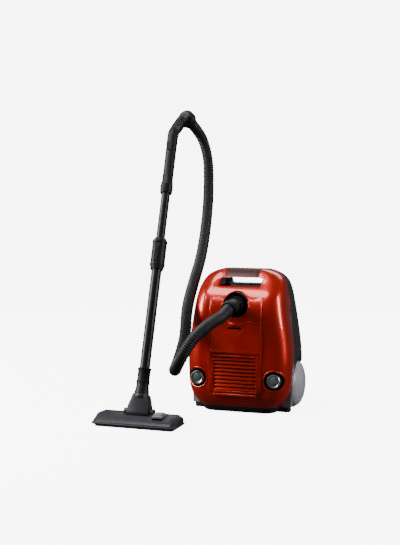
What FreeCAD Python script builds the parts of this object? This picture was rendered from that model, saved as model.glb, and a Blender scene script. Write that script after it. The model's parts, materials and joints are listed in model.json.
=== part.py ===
import FreeCAD, Part
import math
import os
import Sketcher
from FreeCAD import Placement, Rotation, Vector

# Canister vacuum cleaner, stood on its rear end, with its floor head on a telescopic wand beside it.
# Millimetres. +X is the canister's right, -Y its top cover's side, +Z up.
# The origin is the centre of the rear end, on the floor.

SIZES = {
    "body_half_width": 154,
    "wall": 3,
    "seam_low": 60,
    "seam_high": 3,
    "slot_half_width": 63,
    "slot_bottom": 361,
    "slot_top": 386,
    "plateau_half_width": 77,
    "plateau_rise": 4,
    "lid_half_width": 72,
    "lid_bottom": 172,
    "lid_top": 268,
    "lid_gap": 0.4,
    "hinge_pin_radius": 1.5,
    "grille_half_width": 68,
    "grille_bottom": 61,
    "grille_top": 168,
    "grille_slots": 8,
    "grille_pitch": 12.6,
    "inlet_height": 312,
    "inlet_recess_radius": 37,
    "elbow_radius": 20,
    "knob_side": 113,
    "knob_height": 100,
    "knob_recess_radius": 28.3,
    "knob_radius": 20.5,
    "wheel_radius": 71,
    "wheel_height": 72,
    "wheel_back": 27,
    "axle_radius": 6,
    "well_radius": 76,
    "well_side": 108,
    "motor_radius": 52,
    "motor_side": -45,
    "motor_length": 106,
    "reel_radius": 58,
    "reel_width": 46,
    "caster_radius": 15,
    "tube_radius": 14.5,
    "inner_tube_radius": 12.8,
    "grip_radius": 16,
    "grip_bend": 95,
    "grip_turn": 82,
    "cuff_radius": 26,
    "hose_radius": 17,
    "hose_wall": 2.5,
    "wand_lean": 22.6,
    "wand_tilt": -1.4,
    "head_side": -206,
    "head_pivot_front": 336,
    "head_pivot_height": 34,
    "head_half_width": 121,
    "head_front": 388,
    "head_back": 308,
    "head_height": 32,
    "roller_radius": 9,
    "running_gap": 0.05,
    "clear_gap": 0.4,
}

doc = FreeCAD.newDocument("canister_vacuum")
sheet = doc.addObject("Spreadsheet::Sheet", "Sizes")
for row, (alias, number) in enumerate(SIZES.items(), start=1):
    sheet.set(f"A{row}", alias)
    sheet.set(f"B{row}", str(number))
    sheet.setAlias(f"B{row}", alias)
doc.recompute()


# Sizes that keep their formula.


class Size(float):
    """A number that also knows the spreadsheet formula it comes from."""

    def __new__(cls, number, formula):
        size = float.__new__(cls, number)
        size.formula = formula
        return size

    def __add__(self, other):
        return Size(float(self) + float(other), f"({self.formula} + {formula_of(other)})")

    def __radd__(self, other):
        return self + other

    def __sub__(self, other):
        return Size(float(self) - float(other), f"({self.formula} - {formula_of(other)})")

    def __rsub__(self, other):
        return Size(float(other) - float(self), f"({formula_of(other)} - {self.formula})")

    def __mul__(self, other):
        return Size(float(self) * float(other), f"({self.formula} * {formula_of(other)})")

    def __rmul__(self, other):
        return self * other

    def __neg__(self):
        return self * -1


def formula_of(number):
    return number.formula if isinstance(number, Size) else f"({float(number):.6g})"


def size(alias):
    return Size(float(sheet.get(alias)), f"Sizes.{alias}")


wall = size("wall")
running = size("running_gap")
inlet_height = size("inlet_height")
knob_side = size("knob_side")
knob_height = size("knob_height")
knob_radius = size("knob_radius")
wheel_height = size("wheel_height")
wheel_back = size("wheel_back")
well_side = size("well_side")
tube_radius = size("tube_radius")
inner_tube_radius = size("inner_tube_radius")
grip_radius = size("grip_radius")
hose_radius = size("hose_radius")

pieces = []


def keep(thing, node):
    """Names a finished sub-part, so that it is checked and written."""
    thing.Label = node
    pieces.append(thing)
    return thing


# Building blocks.

TURNS = {
    "X": Rotation(Vector(0, 1, 0), 90),
    "Y": Rotation(Vector(1, 0, 0), -90),
    "Z": Rotation(),
    "-X": Rotation(Vector(0, 1, 0), -90),
    "-Y": Rotation(Vector(1, 0, 0), 90),
}


def bind(thing, name, number):
    if isinstance(number, Size):
        thing.setExpression(name, number.formula)
    else:
        setattr(thing, name, number)


def put(thing, spot, turn=None):
    thing.Placement = Placement(Vector(*[float(number) for number in spot]), turn or Rotation())
    for letter, number in zip("xyz", spot):
        if isinstance(number, Size):
            thing.setExpression(f"Placement.Base.{letter}", number.formula)
    return thing


def cylinder(radius, length, start, along="Z"):
    thing = doc.addObject("Part::Cylinder", "Cylinder")
    bind(thing, "Radius", radius)
    bind(thing, "Height", length)
    return put(thing, start, TURNS[along])


def cone(first, last, length, start, along="Z"):
    thing = doc.addObject("Part::Cone", "Cone")
    bind(thing, "Radius1", first)
    bind(thing, "Radius2", last)
    bind(thing, "Height", length)
    return put(thing, start, TURNS[along])


def block(low, high):
    thing = doc.addObject("Part::Box", "Box")
    for name, start, end in zip(("Length", "Width", "Height"), low, high):
        bind(thing, name, end - start)
    return put(thing, low)


def fuse(*shapes):
    thing = doc.addObject("Part::MultiFuse", "Fuse")
    thing.Shapes = list(shapes)
    return thing


def shared(*shapes):
    thing = doc.addObject("Part::MultiCommon", "Common")
    thing.Shapes = list(shapes)
    return thing


def cut(base, *tools):
    thing = doc.addObject("Part::Cut", "Cut")
    thing.Base = base
    thing.Tool = tools[0] if len(tools) == 1 else fuse(*tools)
    return thing


def tube(outer, inner, length, start, along="Z"):
    return cut(cylinder(outer, length, start, along), cylinder(inner, length, start, along))


def direct(shape):
    thing = doc.addObject("Part::Feature", "Shape")
    thing.Shape = shape
    return thing


def soften(base, radius, chosen):
    """Rounds the edges of base that chosen(edge) accepts."""
    doc.recompute()
    thing = doc.addObject("Part::Fillet", "Fillet")
    thing.Base = base
    edges = enumerate(base.Shape.Edges, start=1)
    thing.Edges = [(number, radius, radius) for number, edge in edges if chosen(edge)]
    return thing


def runs_along(letter):
    """Accepts straight edges parallel to one axis."""
    direction = {"X": Vector(1, 0, 0), "Y": Vector(0, 1, 0), "Z": Vector(0, 0, 1)}[letter]

    def chosen(edge):
        straight = isinstance(edge.Curve, Part.Line)
        return straight and abs(edge.Curve.Direction.dot(direction)) > 0.999

    return chosen


def origin_plane(body, role):
    return next(plane for plane in body.Origin.OriginFeatures if plane.Role == role)


def outline(body, plane, corners):
    """A closed sketch of straight lines, each corner tied to its own two sizes."""
    sketch = body.newObject("Sketcher::SketchObject", "Sketch")
    sketch.AttachmentSupport = [(origin_plane(body, plane), "")]
    sketch.MapMode = "FlatFace"
    spots = [Vector(float(across), float(up), 0) for across, up in corners]
    count = len(spots)
    for index in range(count):
        sketch.addGeometry(Part.LineSegment(spots[index], spots[(index + 1) % count]), False)
    for index in range(count):
        sketch.addConstraint(Sketcher.Constraint("Coincident", index, 2, (index + 1) % count, 1))
    for index, corner in enumerate(corners):
        for kind, axis, number in zip(("DistanceX", "DistanceY"), (-2, -1), corner):
            if float(number) == 0:
                sketch.addConstraint(Sketcher.Constraint("PointOnObject", index, 1, axis))
                continue
            ends = (-1, 1, index, 1) if float(number) > 0 else (index, 1, -1, 1)
            placed = sketch.addConstraint(Sketcher.Constraint(kind, *ends, abs(float(number))))
            if isinstance(number, Size):
                sign = "" if float(number) > 0 else "-"
                sketch.setExpression(f"Constraints[{placed}]", f"{sign}{number.formula}")
    return sketch


def turned(node, profile, spot, along="Z"):
    """A body of revolution. profile lists (radius, distance along the axis)."""
    body = doc.addObject("PartDesign::Body", "Body")
    spin = body.newObject("PartDesign::Revolution", "Revolution")
    spin.Profile = outline(body, "XZ_Plane", profile)
    spin.ReferenceAxis = (spin.Profile[0], ["V_Axis"])
    spin.Angle = 360
    body.Tip = spin
    put(body, spot, TURNS[along])
    return keep(body, node)


def padded(corners, depth, spot, plane="XY_Plane", both_ways=False):
    """A straight-sided body. corners lie in the given plane of its own frame."""
    body = doc.addObject("PartDesign::Body", "Body")
    pad = body.newObject("PartDesign::Pad", "Pad")
    pad.Profile = outline(body, plane, corners)
    bind(pad, "Length", depth)
    pad.Midplane = both_ways
    body.Tip = pad
    return put(body, spot)


# Canister casing.

# height, half width, front, back, corner radius of each level section
SECTIONS = [
    (18, 118, 104, 92, 40),
    (35, 133, 114, 99, 46),
    (60, 146, 120, 103, 50),
    (105, 153, 122, 105, 54),
    (150, 154, 122, 105, 54),
    (250, 143, 121, 104, 52),
    (310, 134, 116, 98, 50),
    (345, 129, 98, 85, 46),
    (370, 123, 72, 70, 40),
    (392, 108, 50, 52, 34),
    (403, 88, 38, 42, 28),
    (408, 72, 32, 36, 24),
]


def level_section(height, half, front, back, radius, inset=0.0):
    """A rounded rectangle at one height, drawn in from the outer surface by inset."""
    half -= inset
    front -= inset
    back -= inset
    radius = max(radius - inset, 3)
    depth = front + back
    middle = (back - front) / 2
    arcs = []
    for side, end in ((1, -1), (1, 1), (-1, 1), (-1, -1)):
        centre = Vector(side * (half - radius), middle + end * (depth / 2 - radius), height)
        start = {(1, -1): 270, (1, 1): 0, (-1, 1): 90, (-1, -1): 180}[(side, end)]
        circle = Part.Circle(centre, Vector(0, 0, 1), radius)
        arcs.append(Part.Arc(circle, math.radians(start), math.radians(start + 90)))
    edges = []
    for index, arc in enumerate(arcs):
        following = arcs[(index + 1) % 4]
        edges.append(arc.toShape())
        edges.append(Part.LineSegment(arc.EndPoint, following.StartPoint).toShape())
    return Part.Wire(edges)


def loft(sections, inset=0.0):
    wires = [level_section(*section, inset) for section in sections]
    return Part.makeLoft(wires, True, False)


WIDEST = 154
INNER_FLOOR = (21, 114, 101, 89, 36)
width_scale = float(size("body_half_width")) / WIDEST
sections = [
    (height, half * width_scale, front, back, radius)
    for height, half, front, back, radius in SECTIONS
]
hull = loft(sections)
hollow = loft([INNER_FLOOR] + sections[1:], float(wall))
hollow = hollow.common(Part.makeBox(400, 400, 380, Vector(-200, -200, INNER_FLOOR[0])))

slot_half = float(size("slot_half_width"))
slot_low = float(size("slot_bottom"))
slot_high = float(size("slot_top"))
handle_block = Part.makeBox(2 * slot_half + 7, 400, 100, Vector(-slot_half - 3.5, -200, slot_low - 4))
slot_hole = Part.makeBox(2 * slot_half, 400, slot_high - slot_low, Vector(-slot_half, -200, slot_low))
slot_corners = [edge for edge in slot_hole.Edges if abs(edge.tangentAt(edge.FirstParameter).y) > 0.99]
slot_hole = slot_hole.makeFillet(6, slot_corners)

wheel_x = float(well_side)
well_radius = float(size("well_radius"))
axle_spot = (float(wheel_back), float(wheel_height))


def side_cylinder(radius, start, length, side):
    """A round bar along X that starts at the given distance from the middle, on one side."""
    base = Vector(side * start, axle_spot[0], axle_spot[1])
    return Part.makeCylinder(radius, length, base, Vector(side, 0, 0))


wells = [side_cylinder(well_radius, wheel_x, 100, side) for side in (1, -1)]
well_jackets = [side_cylinder(well_radius + 3, wheel_x - 3, 100, side) for side in (1, -1)]
hollow = hollow.cut(handle_block).cut(well_jackets[0]).cut(well_jackets[1])

seam_low = -float(size("seam_low"))
seam_high = -float(size("seam_high"))
front_corners = [(-220, -20), (seam_low - 3, -20), (seam_high + 3, 430), (-220, 430)]
front_wire = Part.makePolygon(
    [Vector(-250, depth, height) for depth, height in front_corners + front_corners[:1]]
)
front_space = Part.Face(front_wire).extrude(Vector(500, 0, 0))

plateau_half = float(size("plateau_half_width"))
rise = float(size("plateau_rise"))
PLATEAU_ROWS = [
    (59, 120),
    (70, 120.6),
    (105, 122),
    (150, 122),
    (250, 121),
    (300, 117.5),
    (318, 111.5),
    (335, 104),
]
PLATEAU_ENDS = (59, 335)
plateau = loft(
    [
        (height, plateau_half - 2, front, -80, 5)
        if height in PLATEAU_ENDS
        else (height, plateau_half, front + rise, -80, 5)
        for height, front in PLATEAU_ROWS
    ]
)
lower_bar = Part.makeBox(128, 12, 7.5, Vector(-64, -127.5, 50.5))
bar_edges = [edge for edge in lower_bar.Edges if all(vertex.Y < -127 for vertex in edge.Vertexes)]
lower_bar = lower_bar.makeFillet(2.6, bar_edges)
foot_groove = Part.makeBox(120, 60, 5.5, Vector(-60, -150, 29)).cut(loft(sections, 1.4))
front_shell = hull.fuse(plateau).fuse(lower_bar).common(front_space).cut(hollow).cut(foot_groove)
back_shell = hull.cut(front_space).cut(hollow).cut(wells[0]).cut(wells[1])

lid_half = float(size("lid_half_width"))
lid_low = float(size("lid_bottom"))
lid_high = float(size("lid_top"))
lid_gap = float(size("lid_gap"))
grille_half = float(size("grille_half_width"))
grille_low = float(size("grille_bottom"))
grille_high = float(size("grille_top"))
recess = float(size("inlet_recess_radius"))


def front_box(half, low, high, near=-140.0, far=-108.0):
    return Part.makeBox(2 * half, far - near, high - low, Vector(-half, near, low))


def front_bore(radius, side, height, near=-150.0, far=-80.0):
    return Part.makeCylinder(radius, far - near, Vector(side, near, height), Vector(0, 1, 0))


hinge_depth = -122.5
hinge_height = lid_low + 4.5
hinge_pin = float(size("hinge_pin_radius"))


def hinge_bar(radius, start, end):
    base = Vector(start, hinge_depth, hinge_height)
    return Part.makeCylinder(radius, end - start, base, Vector(1, 0, 0))


lid_space = front_box(lid_half, hinge_height, lid_high)
lid_barrel_space = hinge_bar(4.5, -lid_half, lid_half)
pin_bars = [
    hinge_bar(hinge_pin, -lid_half - 4, -lid_half + 8),
    hinge_bar(hinge_pin, lid_half - 8, lid_half + 4),
]
knob_x = float(knob_side)
knob_z = float(knob_height)
knob_recess = float(size("knob_recess_radius"))
inlet_z = float(inlet_height)

grip_zone = Part.makeBox(100, 60, 40, Vector(-50, -60, slot_high + 1.5))
upper = front_shell.cut(slot_hole).cut(grip_zone).cut(lid_space).cut(lid_barrel_space)
upper = upper.cut(front_box(lid_half, lid_low, hinge_height))
clear = float(size("clear_gap"))
upper = upper.cut(front_box(grille_half + clear, grille_low - clear, grille_high + clear))
upper = upper.cut(front_bore(recess, 0, inlet_z))
for side in (1, -1):
    upper = upper.cut(front_bore(knob_recess, side * knob_x, knob_z))
for bar in pin_bars:
    upper = upper.cut(bar)
keep(direct(upper), "upper_housing")

insert = hull.common(front_space).common(grip_zone).cut(slot_hole)
keep(direct(insert), "grip_insert")

# The fenders fill the corners in front of the wheels, down to the feet.
FENDER_INNER = 118
FENDER_LOW = 14
FENDER_HIGH = 100
FENDER_ROWS = [(FENDER_LOW, 147, 106, 92, 46), (60, 150, 120, 103, 50), (104, 153, 122, 105, 54)]
skirt = loft(FENDER_ROWS)
fender_zones = [
    Part.makeBox(70, 80, FENDER_HIGH - FENDER_LOW, Vector(start, -62, FENDER_LOW))
    for start in (FENDER_INNER, -FENDER_INNER - 70)
]
screw_spots = [(-70, 40), (70, 40), (-75, 290), (75, 290)]


def back_surface(side, height):
    """The outermost Y of the casing at one place on its back."""
    probe = Part.makeLine(Vector(side, 0, height), Vector(side, 200, height))
    return max(vertex.Y for vertex in probe.common(hull).Vertexes)


screw_faces = [back_surface(side, height) for side, height in screw_spots]
CASTER_HEIGHT = 330
CASTER_POCKET = 30
CASTER_POCKET_HEIGHT = 326
OUTLET_SPOT = (60, 50)
outlet_face = back_surface(*OUTLET_SPOT)


def back_bar(radius, side, height, start, end):
    return Part.makeCylinder(radius, end - start, Vector(side, start, height), Vector(0, 1, 0))


screw_heads = []
for (side, height), face in zip(screw_spots, screw_faces):
    head = back_bar(4, side, height, face - 3, face - 1)
    shank = back_bar(1.9, side, height, face - 16, face - 3)
    boss = back_bar(5.5, side, height, face - 18, face - 2.5)
    socket = back_bar(4.4, side, height, face - 3, face + 6)
    drive = Part.makeBox(5, 1, 1, Vector(side - 2.5, face - 2, height - 0.5))
    cross = Part.makeBox(1, 1, 5, Vector(side - 0.5, face - 2, height - 2.5))
    screw = head.fuse(shank)
    screw_heads.append(screw.cut(drive).cut(cross))
    back_shell = back_shell.fuse(boss).cut(socket).cut(screw)

lower = back_shell.cut(slot_hole)
for zone in fender_zones:
    lower = lower.cut(zone)
lower = lower.cut(back_bar(CASTER_POCKET, 0, CASTER_POCKET_HEIGHT, 78, 130))
lower = lower.cut(back_bar(9, *OUTLET_SPOT, outlet_face - 20, outlet_face + 20))
axle_radius = float(size("axle_radius"))
for side in (1, -1):
    lower = lower.cut(side_cylinder(axle_radius, wheel_x - 20, 60, side))
keep(direct(lower), "lower_housing")
keep(direct(Part.makeCompound(screw_heads)), "housing_screws")

for zone, well, node in zip(fender_zones, wells, ("fender_right", "fender_left")):
    fender = skirt.common(zone).cut(front_space).cut(hollow).cut(well)
    keep(direct(fender), node)

BASE_ROWS = [(0, 106, 94, 84, 34), (4, 110, 98, 87, 36), (18, 118, 104, 92, 40)]
BASE_WALL = 5
base_cup = Part.makeLoft([level_section(*row) for row in BASE_ROWS], True, True)
base_room = Part.makeLoft([level_section(*row, BASE_WALL) for row in BASE_ROWS[1:]], True, True)
feet = []
for start in (100, -143):
    foot = Part.makeBox(43, 34, FENDER_LOW, Vector(start, -56, 0))
    foot_corners = [edge for edge in foot.Edges if abs(edge.tangentAt(edge.FirstParameter).z) > 0.99]
    feet.append(foot.makeFillet(8, foot_corners))
base = base_cup.fuse(feet[0]).fuse(feet[1]).cut(base_room).cut(wells[0]).cut(wells[1])
keep(direct(base), "standing_base")

# Bag lid, latch and hinge pins.

lid = front_shell.common(front_box(lid_half - lid_gap, hinge_height, lid_high - lid_gap))
barrel = hinge_bar(4.1, -lid_half + lid_gap, lid_half - lid_gap)
lid = lid.fuse(barrel)
for start, end in ((-lid_half, -lid_half + 8.5), (lid_half - 8.5, lid_half)):
    lid = lid.cut(hinge_bar(hinge_pin + float(running), start, end))
latch_room = Part.makeBox(40, 30, 20, Vector(-20, -140, lid_high - 24))
keep(direct(lid.cut(latch_room)), "bag_lid")
keep(direct(Part.makeCompound(pin_bars)), "lid_hinge_pins")

latch_plate = block((-19.5, -126.5, size("lid_top") - 19), (19.5, -119.5, size("lid_top") - 4.6))
latch_ridge = block((-14, -128.5, size("lid_top") - 14), (14, -126.5, size("lid_top") - 8))
keep(fuse(latch_plate, latch_ridge), "lid_latch")

# Exhaust grille and filter.

grille_height = size("grille_top") - size("grille_bottom")
grille_body = doc.addObject("PartDesign::Body", "GrilleBody")
grille_pad = grille_body.newObject("PartDesign::Pad", "GrillePad")
half_grille = size("grille_half_width")
grille_pad.Profile = outline(
    grille_body,
    "XZ_Plane",
    [(-half_grille, 0), (half_grille, 0), (half_grille, grille_height), (-half_grille, grille_height)],
)
grille_pad.Length = 7
doc.recompute()
slot_cut = grille_body.newObject("PartDesign::Pocket", "GrilleSlot")
slot_cut.Profile = outline(grille_body, "XZ_Plane", [(-62, 4.5), (62, 4.5), (62, 10.5), (-62, 10.5)])
slot_cut.Type = "ThroughAll"
slot_cut.Midplane = True
pattern = grille_body.newObject("PartDesign::LinearPattern", "GrillePattern")
pattern.Originals = [slot_cut]
pattern.Direction = (slot_cut.Profile[0], ["V_Axis"])
bind(pattern, "Length", size("grille_pitch") * 7)
bind(pattern, "Occurrences", size("grille_slots"))
grille_body.Tip = pattern
put(grille_body, (0, -119.3, size("grille_bottom")))
keep(grille_body, "exhaust_grille")
keep(block((-66, -116.5, size("grille_bottom") + 2), (66, -104, size("grille_top") - 2)), "exhaust_filter")

# Hose inlet.

inlet_flange = tube(size("inlet_recess_radius") - 0.2, size("elbow_radius"), 3, (0, -104, inlet_height), "Y")
inlet_collar = tube(26, size("elbow_radius"), 36, (0, -119, inlet_height), "Y")
inlet_rim = size("inlet_recess_radius") - 0.2
inlet_wall = tube(inlet_rim, inlet_rim - 2, 11, (0, -115, inlet_height), "Y")
seal_space = cylinder(23, 4, (0, -92, inlet_height), "Y")
keep(cut(fuse(inlet_flange, inlet_collar, inlet_wall), seal_space), "inlet_ring")
keep(tube(23, size("elbow_radius"), 4, (0, -92, inlet_height), "Y"), "inlet_seal")

# Power and rewind buttons.

bezels = []
for side, word in ((-1, "power"), (1, "rewind")):
    outer_bar = front_bore(knob_recess - 0.05, side * knob_x, knob_z, -150, -97)
    dish = front_bore(knob_recess - 2, side * knob_x, knob_z, -150, -101)
    through = front_bore(float(knob_radius) + 0.5, side * knob_x, knob_z, -150, -90)
    guide = front_bore(float(knob_radius) + 2.5, side * knob_x, knob_z, -101, -84)
    guide = guide.cut(front_bore(float(knob_radius) + 0.5, side * knob_x, knob_z, -101, -86))
    guide = guide.cut(front_bore(5, side * knob_x, knob_z, -101, -84))
    bezels.append(outer_bar.common(hull).cut(dish).cut(through).fuse(guide))
    turned(
        f"{word}_button",
        [(0, 0), (4, 0), (4, 14), (knob_radius, 14), (knob_radius, 33), (knob_radius - 2.5, 36)]
        + [(14, 35), (13, 34), (12.4, 36.2), (8, 37.2), (0, 37.6)],
        (side * knob_side, -88, knob_height),
        "-Y",
    )
    coils = [
        Part.makeTorus(7, 0.9, Vector(side * knob_x, -87 - step * 3.4, knob_z), Vector(0, 1, 0))
        for step in range(5)
    ]
    spring = direct(Part.makeCompound(coils))
    keep(spring, f"{word}_spring")
keep(direct(Part.makeCompound(bezels)), "button_bezels")

keep(
    fuse(
        block((-knob_side - 9, -80, knob_height - 9), (-knob_side + 9, -66, knob_height + 9)),
        block((-knob_side - 3, -81.5, knob_height - 3), (-knob_side + 3, -80, knob_height + 3)),
    ),
    "power_switch",
)
board = block((-130, -66, 84), (-28, -64.4, 150))
board_parts = [
    block((-96, -73, 92), (-80, -66, 108)),
    block((-70, -78, 96), (-52, -66, 118)),
    cylinder(6, 14, (-44, -80, 134), "Y"),
    block((-90, -70, 124), (-62, -66, 140)),
]
keep(fuse(board, *board_parts), "control_board")

# Wheels.

for side, word in ((1, "right"), (-1, "left")):
    along = "X" if side > 0 else "-X"
    hub_start = (side * (well_side + 14), wheel_back, wheel_height)
    rim = size("wheel_radius") - 4
    turned(
        f"wheel_{word}",
        [(axle_radius + running, 0), (22, 0), (22, 6), (rim - 6, 6), (rim - 6, 0), (rim, 0), (rim, 22)]
        + [(rim - 2, 27), (rim - 9, 34), (rim - 21, 40), (rim - 37, 44), (16, 45.4), (13, 46), (0, 46)]
        + [(0, 42.4), (axle_radius + running, 42.4)],
        hub_start,
        along,
    )
    tyre = size("wheel_radius")
    turned(
        f"tyre_{word}",
        [(rim, 2), (tyre - 1, 2), (tyre, 4), (tyre, 17), (tyre - 1, 19), (rim, 19)],
        hub_start,
        along,
    )
axles = [side_cylinder(axle_radius, wheel_x - 8, 64, side) for side in (1, -1)]
keep(direct(Part.makeCompound(axles)), "wheel_axles")

# Caster.

caster_radius = size("caster_radius")
pocket_floor = 82
pocket = back_bar(CASTER_POCKET, 0, CASTER_POCKET_HEIGHT, pocket_floor, 130).common(hull)
pocket = pocket.cut(back_bar(CASTER_POCKET - 2.5, 0, CASTER_POCKET_HEIGHT, pocket_floor + 3, 130))
pocket = pocket.fuse(back_bar(9, 0, CASTER_HEIGHT, pocket_floor - 14, pocket_floor))
keep(direct(pocket.cut(back_bar(5 + float(running), 0, CASTER_HEIGHT, 40, 130))), "caster_socket")
CASTER_WHEEL_DEPTH = 112
fork_face = pocket_floor + 3.6
wheel_drop = CASTER_HEIGHT - 9
fork = fuse(
    cylinder(5, 18, (0, fork_face - 18, CASTER_HEIGHT), "Y"),
    cylinder(14, CASTER_WHEEL_DEPTH - fork_face - caster_radius - 1, (0, fork_face, CASTER_HEIGHT), "Y"),
    block((-13, fork_face, wheel_drop - 7), (-9, CASTER_WHEEL_DEPTH + 5, wheel_drop + 9)),
    block((9, fork_face, wheel_drop - 7), (13, CASTER_WHEEL_DEPTH + 5, wheel_drop + 9)),
)
keep(fuse(fork, cylinder(2.5, 26, (-13, CASTER_WHEEL_DEPTH, wheel_drop), "X")), "caster_fork")
turned(
    "caster_wheel",
    [(2.5 + running, 0), (caster_radius - 1.5, 0), (caster_radius, 2), (caster_radius, 14.4)]
    + [(caster_radius - 1.5, 16.4), (2.5 + running, 16.4)],
    (-8.2, CASTER_WHEEL_DEPTH, wheel_drop),
    "X",
)

# Inside: filter wall, bag, motor.

floor_slab = hollow.common(Part.makeBox(400, 400, 4, Vector(-200, -116, 166)))
filter_hole = Part.makeBox(100, 90, 10, Vector(-95, -38, 163))
keep(direct(floor_slab.cut(filter_hole)), "chamber_floor")
motor_side = size("motor_side")
keep(block((-97, -40, 170), (7, 54, 176)), "motor_filter")

bag = block((-92, -78, 182), (92, 62, 342))
keep(soften(bag, 24, lambda edge: True), "dust_bag")
collar_plate = cut(block((-38, -82.5, 270), (38, -78, 352)), cylinder(20.5, 12, (0, -86, inlet_height), "Y"))
keep(collar_plate, "bag_collar")

motor_radius = size("motor_radius")
MOTOR_DEPTH = 10
MOTOR_FOOT = 42
motor_axis = (motor_side, MOTOR_DEPTH, MOTOR_FOOT)
motor_can = cut(
    cylinder(motor_radius, size("motor_length"), motor_axis),
    cylinder(motor_radius - 2, size("motor_length") - 4, (motor_side, MOTOR_DEPTH, 44)),
    cylinder(9, 4, motor_axis),
    cylinder(22, 4, (motor_side, MOTOR_DEPTH, 145)),
)
BEARING_WALL = 108
wall_spot = (motor_side, MOTOR_DEPTH, BEARING_WALL)
bearing_wall = cut(cylinder(motor_radius - 1, 5, wall_spot), cylinder(9, 5, wall_spot))
keep(fuse(motor_can, bearing_wall), "motor_housing")
stator = tube(44, 24, 42, (motor_side, MOTOR_DEPTH, 62))
keep(stator, "motor_stator")
keep(
    fuse(
        tube(34, 26, 21, (motor_side, MOTOR_DEPTH, 21)),
        tube(40, 30, 18, (motor_side, MOTOR_DEPTH, MOTOR_FOOT + size("motor_length"))),
    ),
    "motor_mounts",
)
SHAFT_RADIUS = 4
bearings = fuse(
    tube(9, SHAFT_RADIUS + running, 6, motor_axis),
    tube(9, SHAFT_RADIUS + running, 5, wall_spot),
)
keep(bearings, "motor_bearings")
shaft = fuse(
    cylinder(SHAFT_RADIUS, 96, (motor_side, MOTOR_DEPTH, 43.5)),
    cylinder(22, 38, (motor_side, MOTOR_DEPTH, 64)),
)
keep(shaft, "motor_shaft")
fan_plates = cut(
    fuse(
        cylinder(46, 2, (motor_side, MOTOR_DEPTH, 116)),
        cylinder(46, 2, (motor_side, MOTOR_DEPTH, 132)),
        cylinder(9, 18, (motor_side, MOTOR_DEPTH, 116)),
    ),
    cylinder(18, 3, (motor_side, MOTOR_DEPTH, 131.5)),
)
blades = []
for number in range(9):
    blade = Part.makeBox(30, 1.6, 14, Vector(14, -0.8, 118))
    blade.rotate(Vector(14, 0, 0), Vector(0, 0, 1), 32)
    blade.rotate(Vector(0, 0, 0), Vector(0, 0, 1), number * 40)
    blade.translate(Vector(float(motor_side), MOTOR_DEPTH, 0))
    blades.append(blade)
fan_solid = fuse(fan_plates, *[direct(blade) for blade in blades])
keep(cut(fan_solid, cylinder(4, 30, (motor_side, MOTOR_DEPTH, 112))), "fan")

# Inside: cord reel.

reel_radius = size("reel_radius")
reel_width = size("reel_width")
REEL = (32, 15, 100)
keep(
    cut(
        fuse(
            cylinder(reel_radius, 3, REEL, "X"),
            cylinder(20, reel_width, REEL, "X"),
            cylinder(reel_radius, 3, (REEL[0] + reel_width - 3, REEL[1], REEL[2]), "X"),
        ),
        cylinder(5 + running, 60, (REEL[0] - 5, REEL[1], REEL[2]), "X"),
    ),
    "reel_drum",
)
bracket_side = REEL[0] + reel_width + 4
LEVER_PIVOT = (-52, 146)
keep(
    fuse(
        block((bracket_side, -40, 21), (bracket_side + 4, 70, 150)),
        cylinder(5, reel_width + 6, (REEL[0] - 2, REEL[1], REEL[2]), "X"),
        block((bracket_side - 20, -40, 21), (bracket_side, 70, 24)),
        cylinder(3, 30, (bracket_side - 30, *LEVER_PIVOT), "X"),
        block((bracket_side, -60, 138), (bracket_side + 4, -40, 150)),
    ),
    "reel_bracket",
)
lever = fuse(
    cylinder(7, 12, (bracket_side - 20, *LEVER_PIVOT), "X"),
    block((bracket_side - 20, -56, 104), (bracket_side - 8, -49, 146)),
)
keep(cut(lever, cylinder(3 + running, 20, (bracket_side - 24, *LEVER_PIVOT), "X")), "brake_lever")
outlet = cut(
    fuse(
        cylinder(9, 13, (OUTLET_SPOT[0], outlet_face - 11, OUTLET_SPOT[1]), "Y"),
        cone(12, 10, 3, (OUTLET_SPOT[0], outlet_face + 1.3, OUTLET_SPOT[1]), "Y"),
    ),
    cylinder(4.5, 30, (OUTLET_SPOT[0], outlet_face - 20, OUTLET_SPOT[1]), "Y"),
)
keep(outlet, "cord_outlet")

# Hose elbow.

elbow_bore = 16.0
elbow_outer = float(size("elbow_radius"))
ELBOW_START = -150.0
ELBOW_BEND = 60.0
ELBOW_TURN = 25.0
lean_to = Vector(-0.35, 0, -0.937).normalize()
bend_axis = Vector(0, -1, 0).cross(lean_to)
bend_centre = Vector(0, ELBOW_START, inlet_z) + lean_to * ELBOW_BEND


def elbow_ring(radius):
    """The straight plug and its bend, as one solid bar."""
    start = Vector(0, ELBOW_START, inlet_z)
    plug = Part.makeCylinder(radius, -84 - ELBOW_START, Vector(0, -84, inlet_z), Vector(0, -1, 0))
    disc = Part.Face(Part.Wire(Part.Circle(start, Vector(0, -1, 0), radius).toShape()))
    return plug.fuse(disc.revolve(bend_centre, bend_axis, ELBOW_TURN))


turn = math.radians(ELBOW_TURN)
forward = Vector(0, -1, 0)
elbow_end = bend_centre - lean_to * ELBOW_BEND * math.cos(turn) + forward * ELBOW_BEND * math.sin(turn)
elbow_way = forward * math.cos(turn) + lean_to * math.sin(turn)
elbow_lip = Part.makeCylinder(21.5, 14, elbow_end, elbow_way * -1)
elbow = elbow_ring(elbow_outer).fuse(elbow_lip).cut(elbow_ring(elbow_bore))
keep(direct(elbow), "hose_elbow")

# Wand, in its own frame: the tilt pivot is its origin and +Z runs up the tube.

pivot = Vector(float(size("head_side")), -float(size("head_pivot_front")), float(size("head_pivot_height")))
lean = Rotation(Vector(1, 0, 0), -float(size("wand_lean")))
wand_place = Placement(pivot, Rotation(Vector(0, 1, 0), float(size("wand_tilt"))) * lean)

COLLAR_LOW = 409
COLLAR_HIGH = 503
SLEEVE_LOW = 643
SLEEVE_HIGH = 836


def on_wand(thing, node):
    thing.Placement = wand_place.multiply(thing.Placement)
    return keep(thing, node)


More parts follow.
